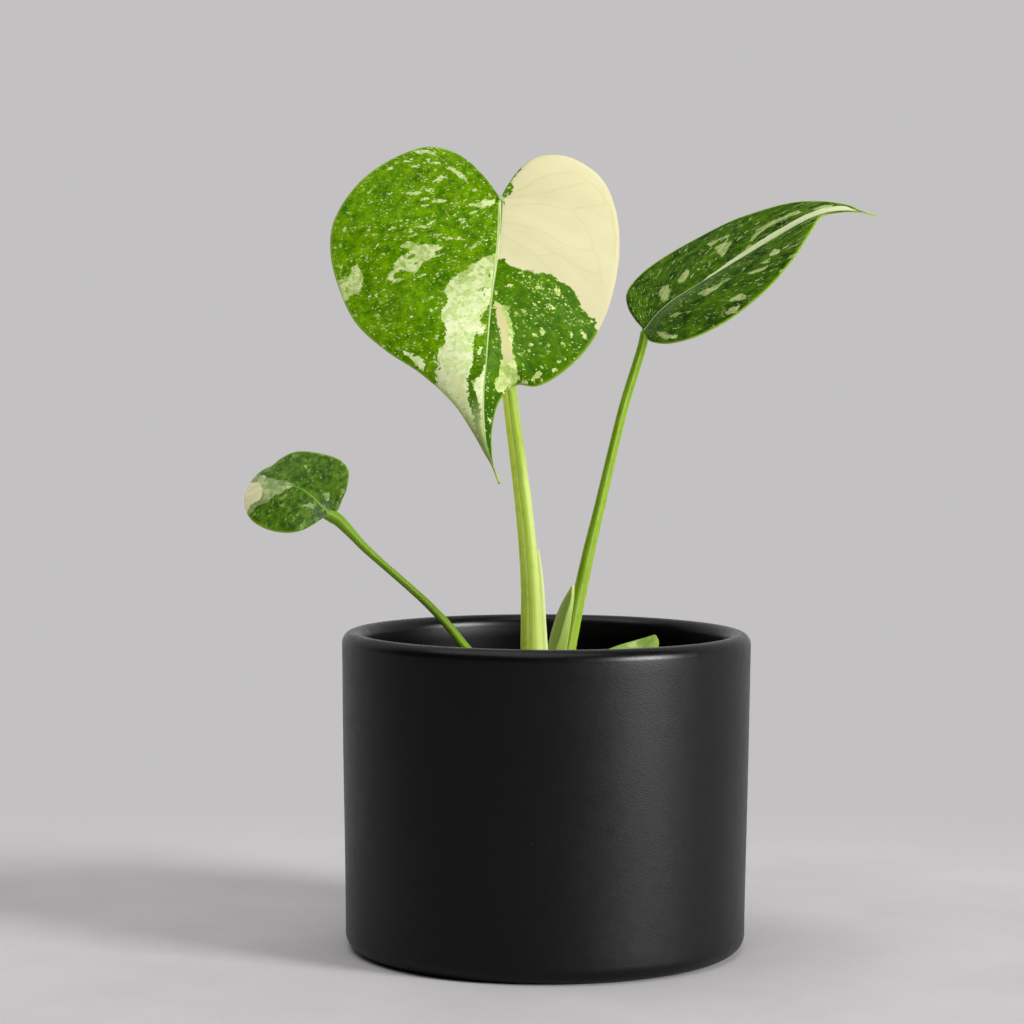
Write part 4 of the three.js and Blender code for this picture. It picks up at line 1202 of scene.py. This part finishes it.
def lathe(profile, segments, uneven):
    """The mesh of a closed solid turned from a profile whose ends lie on the axis."""
    profile = np.array(profile, float)
    run = np.concatenate([[0], np.cumsum(np.linalg.norm(np.diff(profile, axis=0), axis=1))])
    angle = 2 * np.pi * np.arange(segments) / segments
    radius, height = profile[1:-1, 0, None], profile[1:-1, 1, None]
    out, up = uneven(angle, radius, height)
    radius, height = radius + out, height + up
    rings = np.stack(np.broadcast_arrays(radius * np.cos(angle), radius * np.sin(angle), height), -1)
    return ringed_mesh(rings, [(0, 0, profile[end, 1]) for end in (0, -1)], run / run[-1])


def make_pot():
    lip = POT_WALL / 2
    lip_height = POT_HEIGHT - lip
    foot_x = wall_radius(POT_FOOT_ROUND) - POT_FOOT_ROUND
    foot = arc(foot_x, POT_FOOT_ROUND, POT_FOOT_ROUND, -90, 0, 14)
    rim = arc(wall_radius(lip_height) - lip, lip_height, lip, 0, 180, 28)
    inside_foot = POT_FLOOR + POT_INSIDE_ROUND
    inside_x = wall_radius(inside_foot) - POT_WALL - POT_INSIDE_ROUND
    inside = arc(inside_x, inside_foot, POT_INSIDE_ROUND, 0, -90, 8)
    profile = [(0, 0)] + straight((0, 0), foot[0], 6) + foot + straight(foot[-1], rim[0], 24) + rim
    profile += straight(rim[-1], inside[0], 16) + inside + [(6, POT_FLOOR), (0, POT_FLOOR)]
    pot = lathe(profile, POT_SEGMENTS, pot_unevenness)
    make_piece("pot_skin", pot, pot_material(), "pot")


def pot_unevenness(angle, radius, height):
    """Ceramic is never quite true: a tenth of a millimetre at most, and none where it stands."""
    x, y = np.cos(angle), np.sin(angle)
    return 0.09 * smooth(1, 12, height) * wave(2 * x, 2 * y + height / 40, seed=4), 0


def pot_material():
    net = Net("matte_black_ceramic")
    place = net.mm_place()
    x, y, z = net.split(place)
    peel = net.noise(place, 3.2, 3, 0.55)
    dust = net.dots(place, 0.16, 0.035, share=0.45, blur=0.05)
    # The glaze is thin along the top of the lip, and a highlight is painted along it too: the lighter
    # crest is part wear, part painted highlight
    crest = net.step(z, POT_HEIGHT - 0.35, POT_HEIGHT - 0.02)
    wear_and_highlight = crest * net.step(net.noise(place, 0.25, 3, 0.6), 0.3, 0.7)
    colour = net.layered(
        net.mix(net.noise(place, 0.035, 3), (10, 10, 10), (15, 15, 16)),
        (net.step(peel, 0.55, 0.75) * 0.3, (30, 30, 32)),
        (dust * 0.6, (150, 146, 140)),
        (wear_and_highlight * 0.6, (70, 69, 68)),
    )
    # The lip is smoother from wear, and the inside is duller
    lip = net.step(z, POT_HEIGHT - 5, POT_HEIGHT - 1)
    height = peel * 0.7 + net.cells(place, 2.1, feature="SMOOTH_F1") * 0.4
    inside = net.step(net.reach(x, y), POT_RIM_RADIUS - 5, POT_RIM_RADIUS - 7)
    inside = inside * net.step(z, POT_HEIGHT - 3, POT_HEIGHT - 8)
    rough = net.noise(place, 0.22, 4, 0.65) * 0.16 + 0.32 - lip * 0.12
    normal = net.bump(height * (1 - lip * 0.8), 0.00006, 0.9)
    return net.finish(colour, rough, 0.2 - inside * 0.14, Normal=normal)


# Potting mix

def soil_height(x, y):
    """As in the part's source: a low mound round the stem, with lumps of two sizes."""
    off_stem = np.hypot(x - STEM_CENTRE[0], y - STEM_CENTRE[1])
    mound = SOIL_MOUND * np.exp(-(off_stem / SOIL_MOUND_WIDTH) ** 2)
    broad = np.sin(0.19 * x + 1.3) * np.cos(0.23 * y - 0.4)
    fine = np.sin(0.61 * x - 0.7 * y) * np.cos(0.53 * y + 0.31 * x + 2)
    return SOIL_TOP + mound + SOIL_LUMP * (broad + 0.6 * fine)


def soil_unevenness(angle, radius, height):
    x, y = radius * np.cos(angle), radius * np.sin(angle)
    crumb = 0.55 * wave(x * 1.1, y * 1.1, seed=3) + 0.35 * wave(x * 2.6, y * 2.6, seed=5) - 0.4
    return 0, np.where(height > SOIL_TOP - 0.5, soil_height(x, y) - SOIL_TOP + crumb, 0)


def crumb_material(name, dark, light, scale, rough=0.9):
    net = Net(name)
    grain = net.noise(net.mm_place(), scale, 5, 0.7)
    broad = net.noise(net.mm_place(), scale * 0.18, 3, 0.6)
    colour = net.mix(net.step(grain * 0.6 + broad * 0.6, 0.38, 0.82), dark, light)
    return net.finish(colour, grain * 0.1 + (rough - 0.08), 0.25, Normal=net.bump(grain, 0.0005, 0.9))


def lump_base():
    """The corners and faces of a ball of 80 triangles."""
    ball = bmesh.new()
    bmesh.ops.create_icosphere(ball, subdivisions=2, radius=1)
    spots = np.array([corner.co[:] for corner in ball.verts])
    faces = np.array([[corner.index for corner in face.verts] for face in ball.faces])
    ball.free()
    return spots, faces


def scatter_spots(count, size, reach):
    """Places on the mix that keep clear of the stem, the stalks and the pot's wall."""
    kept = []
    while len(kept) < count:
        radius = reach * math.sqrt(RNG.random())
        turn = 2 * math.pi * RNG.random()
        spot = (radius * math.cos(turn), radius * math.sin(turn))
        if all(math.hypot((spot[0] - x) / (half_x + size), (spot[1] - y) / (half_y + size)) > 1
               for x, y, half_x, half_y in KEEP_CLEAR):
            kept.append(spot)
    return kept


def make_lumps(name, count, sizes, flatness, material, sink, seed):
    ball, triangles = lump_base()
    all_spots, all_faces = [], []
    for number, (x, y) in enumerate(scatter_spots(count, sizes[1] * 0.6, LUMP_REACH)):
        size = sizes[0] + (sizes[1] - sizes[0]) * RNG.random() ** 2
        shape = np.array([1, 0.45 + 0.45 * RNG.random(), flatness * (0.6 + 0.8 * RNG.random())])
        lump = ball * (1 + 0.28 * wave(*(2.2 * ball.T), seed + number))[:, None] * shape * size / 2
        tilt = Matrix.Rotation(RNG.normal(0, 0.35), 3, "X") @ Matrix.Rotation(RNG.normal(0, 0.35), 3, "Y")
        turn = Matrix.Rotation(2 * math.pi * RNG.random(), 3, "Z")
        lift = float(soil_height(x, y)) + size * shape[2] * (0.5 - sink)
        all_spots.append(lump @ np.array(turn @ tilt).T + (x, y, lift))
        all_faces.append(triangles + len(ball) * number)
    spots, faces = np.vstack(all_spots), np.vstack(all_faces)
    # Each triangle has a square of its own in the uv map
    side = math.ceil(math.sqrt(len(faces)))
    square = np.arange(len(faces))
    corners = np.array([(0.1, 0.1), (0.9, 0.1), (0.1, 0.9)])
    uvs = (np.stack([square % side, square // side], -1)[:, None] + corners) / side
    make_piece(name, (spots, faces, uvs.reshape(-1, 2)), material, "potting_mix")


def make_fibres(name, count, material):
    meshes = []
    for x, y in scatter_spots(count, 3, FIBRE_REACH):
        turn = 2 * math.pi * RNG.random()
        length = 4 + 7 * RNG.random()
        points = []
        for k in range(5):
            along = (k / 4 - 0.5) * length
            px = x + along * math.cos(turn) + 0.8 * RNG.normal()
            py = y + along * math.sin(turn) + 0.8 * RNG.normal()
            arch = 0.9 if k in (1, 2) else 0
            points.append((px, py, float(soil_height(px, py)) + 0.3 + 0.5 * RNG.random() + arch))
        meshes.append(tube_mesh(points, (0.08, 0.2, 0.16, 0.06), 10, 5)[0])
    make_piece(name, joined(meshes), material, "potting_mix")


def make_mix():
    bottom = POT_FLOOR + MIX_GAP
    foot_height = bottom + POT_INSIDE_ROUND
    foot_x = wall_radius(foot_height) - POT_WALL - MIX_GAP - POT_INSIDE_ROUND
    foot = arc(foot_x, foot_height, POT_INSIDE_ROUND, -90, 0, 6)
    rim = wall_radius(SOIL_TOP) - POT_WALL - MIX_GAP
    rings = [(rim * k / MIX_RINGS, SOIL_TOP) for k in range(MIX_RINGS, 0, -1)]
    profile = [(0, bottom)] + foot + straight(foot[-1], rings[0], 8) + rings + [(0, SOIL_TOP)]
    ground = crumb_material("coir_and_peat", (30, 22, 15), (74, 56, 38), 1.1)
    bed = lathe(profile, MIX_SEGMENTS, soil_unevenness)
    make_piece("mix_bed", bed, ground, "potting_mix")
    bark = crumb_material("bark_chips", (58, 38, 24), (126, 92, 60), 0.7)
    perlite = crumb_material("perlite", (196, 192, 182), (238, 236, 230), 1.6, 0.85)
    char = crumb_material("charcoal", (22, 21, 20), (52, 50, 48), 0.9, 0.7)
    fibre = crumb_material("coir_fibre", (92, 66, 40), (150, 116, 76), 2)
    make_lumps("bark_chips", 560, (2.5, 9), 0.42, bark, 0.25, 1)
    make_lumps("perlite_grains", 230, (1.6, 4.4), 0.85, perlite, 0.3, 2000)
    make_lumps("charcoal_bits", 90, (2, 6), 0.7, char, 0.3, 4000)
    make_fibres("coir_fibres", 110, fibre)


# Stem and roots

def stem_mesh():
    """A short ringed stem, which narrows and closes at both ends."""
    z = np.linspace(STEM_BOTTOM, STEM_TOP, STEM_STEPS + 1)
    end = np.minimum(1, np.minimum((STEM_TOP - z) / 4 + 0.25, (z - STEM_BOTTOM) / 8 + 0.5))
    ring = STEM_RING_DEPTH * np.cos(2 * np.pi * (STEM_TOP - z) / STEM_RING_PITCH)
    radius = STEM_HALF_WIDTH * np.sqrt(end) + ring
    closing = np.array([0.85, 0.6, 0.35, 0.15])
    radius = np.append(radius, radius[-1] * closing)[:, None]
    z = np.append(z, STEM_TOP + STEM_CROWN * (1 - closing))[:, None]
    angle = 2 * np.pi * np.arange(STEM_SIDES) / STEM_SIDES
    across, deep = np.cos(angle), np.sin(angle)
    radius = radius * (1 + 0.02 * wave(3 * across, 3 * deep, z / 3, 6))
    x, y = STEM_CENTRE
    deep = deep * STEM_HALF_DEPTH / STEM_HALF_WIDTH
    rings = np.stack(np.broadcast_arrays(x + radius * across, y + radius * deep, z), -1)
    levels = [0, *np.linspace(0.02, 0.98, len(rings)), 1]
    return ringed_mesh(rings, [(x, y, STEM_BOTTOM), (x, y, STEM_TOP + STEM_CROWN)], levels)


def root_mesh(number):
    heading = 2 * math.pi * (number + 0.35 * math.sin(3 * number)) / ROOT_COUNT
    reach = ROOT_REACH * (0.75 + 0.25 * math.cos(2.3 * number))
    points = []
    for out in np.linspace(0, 1, 6):
        radius = ROOT_START + (reach - ROOT_START) * out
        turn = heading + ROOT_WANDER / reach * math.sin(4 * out + number)
        points.append((STEM_CENTRE[0] + radius * math.cos(turn), STEM_CENTRE[1] + radius * math.sin(turn),
                       STEM_BOTTOM + 6 - ROOT_DEPTH * out ** 1.4))
    return tube_mesh(points, (ROOT_RADIUS, ROOT_TIP_RADIUS), 60, 12)[0]


def make_stem():
    spots, faces, uvs = stem_mesh()
    # The stem takes the left half of the uv map, and each root a strip of the right half
    meshes = [(spots, faces, [(0.5 * u, v) for u, v in uvs])]
    for number in range(ROOT_COUNT):
        spots, faces, uvs = root_mesh(number)
        meshes.append((spots, faces, [(0.5 + 0.5 * (number + u) / ROOT_COUNT, v) for u, v in uvs]))
    make_piece("stem_and_roots_skin", joined(meshes), stem_material(), "stem_and_roots")


def stem_material():
    net = Net("ringed_stem")
    grain = net.noise(net.mm_place(), 0.8, 4, 0.65)
    living_share = net.step(net.split(net.mm_place())[2], 70, 79)
    bark = net.mix(net.step(grain, 0.35, 0.7), (120, 92, 58), (176, 148, 104))
    living = net.mix(net.step(grain, 0.35, 0.7), (106, 124, 48), (160, 170, 92))
    colour = net.mix(living_share, bark, living)
    return net.finish(colour, grain * 0.15 + 0.5, 0.35, Normal=net.bump(grain, 0.0003, 0.8))


# Floor, surround, light and camera

def stage_piece(name, lines, material, closed=False):
    """A sheet through lines that hold the same number of places."""
    index = np.arange(len(lines) * len(lines[0])).reshape(len(lines), -1)
    if closed:
        index = np.hstack([index, index[:, :1]])
    mesh = bpy.data.meshes.new(name)
    mesh.from_pydata(np.vstack(lines).tolist(), [], grid_quads(index).tolist())
    mesh.polygons.foreach_set("use_smooth", [True] * len(mesh.polygons))
    mesh.materials.append(material)
    made = bpy.data.objects.new(name, mesh)
    bpy.context.scene.collection.objects.link(made)
    return made


def make_floor():
    """A pale floor that passes into an even tone behind the plant and far from it."""
    net = Net("pale_floor")
    place = net.mm_place()
    x, y, _ = net.split(place)
    away = net.math("MAXIMUM", net.step(y, 110, 290), net.step(net.reach(x, y), 420, 900))
    shade = net.noise(place, 0.012, 3, 0.6) * 0.7 + net.noise(place, 0.7, 3, 0.7) * 0.3
    near = net.mix(net.step(shade, 0.3, 0.7), (193, 191, 192), (204, 202, 203))
    net.finish(net.mix(away, near, (0, 0, 0)), 0.9, (1 - away) * 0.1,
               Emission_Color=srgb(*SURROUND_GREY), Emission_Strength=away)
    ends = (-FLOOR_HALF, FLOOR_HALF)
    stage_piece("floor", [[(x, y, 0) for x in ends] for y in ends], net.material)


def make_surround():
    """An even pale surround on every side, which only the camera sees."""
    net = Net("pale_surround")
    net.finish(srgb(0, 0, 0), 1, 0, Emission_Color=srgb(*SURROUND_GREY), Emission_Strength=1)
    turns = 2 * math.pi * np.arange(SURROUND_SIDES) / SURROUND_SIDES
    profile = arc(0, -SURROUND_SINK, SURROUND_RADIUS, 0, 90, SURROUND_STEPS)
    lines = [[(ring * math.cos(turn), ring * math.sin(turn), z) for turn in turns] for ring, z in profile]
    surround = stage_piece("surround", lines, net.material, closed=True)
    surround.visible_diffuse = surround.visible_glossy = surround.visible_shadow = False
    surround.visible_transmission = False


def make_bounce():
    """The curved board behind the plant that throws light back; the camera doesn't see it."""
    net = Net("bounce_board")
    net.finish(srgb(197, 195, 196), 0.9, 0)
    profile = arc(BOUNCE_START, BOUNCE_BEND + MM, BOUNCE_BEND, -90, 0, BOUNCE_STEPS)
    profile.append((BOUNCE_START + BOUNCE_BEND, BOUNCE_HEIGHT))
    lines = [[(-BOUNCE_HALF, y, z), (BOUNCE_HALF, y, z)] for y, z in profile]
    stage_piece("bounce", lines, net.material).visible_camera = False


def make_light(name, place, target, size, power, gloss_only=False):
    data = bpy.data.lights.new(name, "AREA")
    data.shape = "RECTANGLE"
    data.size, data.size_y = size
    data.energy = power
    light = bpy.data.objects.new(name, data)
    light.visible_diffuse = not gloss_only
    light.location = place
    light.rotation_euler = (Vector(target) - Vector(place)).to_track_quat("-Z", "Y").to_euler()
    bpy.context.scene.collection.objects.link(light)


def make_world(strength):
    world = bpy.data.worlds.new("studio")
    world.use_nodes = True
    background = world.node_tree.nodes["Background"]
    background.inputs["Color"].default_value = (1, 1, 1, 1)
    background.inputs["Strength"].default_value = strength
    bpy.context.scene.world = world


def make_camera():
    data = bpy.data.cameras.new("camera")
    data.sensor_width = CAMERA_SENSOR
    data.lens = CAMERA_LENS
    level_ahead = Vector((math.sin(CAMERA_PAN), math.cos(CAMERA_PAN), 0))
    ahead = math.cos(CAMERA_PITCH) * level_ahead - math.sin(CAMERA_PITCH) * Vector((0, 0, 1))
    level = Vector((math.cos(CAMERA_PAN), -math.sin(CAMERA_PAN), 0))
    upright = level.cross(ahead)
    right = math.cos(CAMERA_ROLL) * level + math.sin(CAMERA_ROLL) * upright
    up = math.cos(CAMERA_ROLL) * upright - math.sin(CAMERA_ROLL) * level
    camera = bpy.data.objects.new("camera", data)
    turn = Matrix((right, up, -ahead)).transposed()
    camera.matrix_world = Matrix.Translation(CAMERA_PLACE) @ turn.to_4x4()
    bpy.context.scene.collection.objects.link(camera)
    bpy.context.scene.camera = camera


# The plant in its pot

make_pot()
make_mix()
make_stem()
for leaf_name in LEAVES:
    make_blade(leaf_name)
make_stalk("main", 220, 48)
make_stalk("right", 220, 40)
make_stalk("left", 160, 32)
make_stalk("low", 60, 20)

main_sheath = sheath_material("main_sheath", (188, 212, 96), (222, 234, 156), (206, 224, 124))
right_sheath = sheath_material("right_sheath", (164, 198, 74), (206, 226, 134), (190, 216, 104))
front_margin = sheath_material("front_margin", (196, 224, 112), (218, 236, 146), (176, 208, 88))
make_sheet("main_leaf_sheath", SHEETS["main"], 0.4, main_sheath, 14, 80, "main_leaf_stalk")
make_sheet("right_leaf_sheath", SHEETS["right"], 0.35, right_sheath, 18, 70, "right_leaf_stalk")
make_sheet("right_sheath_front_margin", SHEETS["front"], 0.3, front_margin, 12, 60, "right_leaf_stalk")

make_floor()
make_surround()
make_bounce()
make_light("key", place=(4.2, -2.45, 1.95), target=LIT_PLACE, size=(1.4, 2.2), power=265)
make_light("sheen", place=(4.1, -2.55, 1.4), target=LIT_PLACE, size=(2.2, 2.2), power=430,
           gloss_only=True)
make_light("overhead", place=(-0.35, -0.35, 1.9), target=(0, 0.05, 0), size=(2.2, 1.6), power=23)
make_world(0.03)
make_camera()
bpy.context.scene.view_settings.view_transform = "Standard"
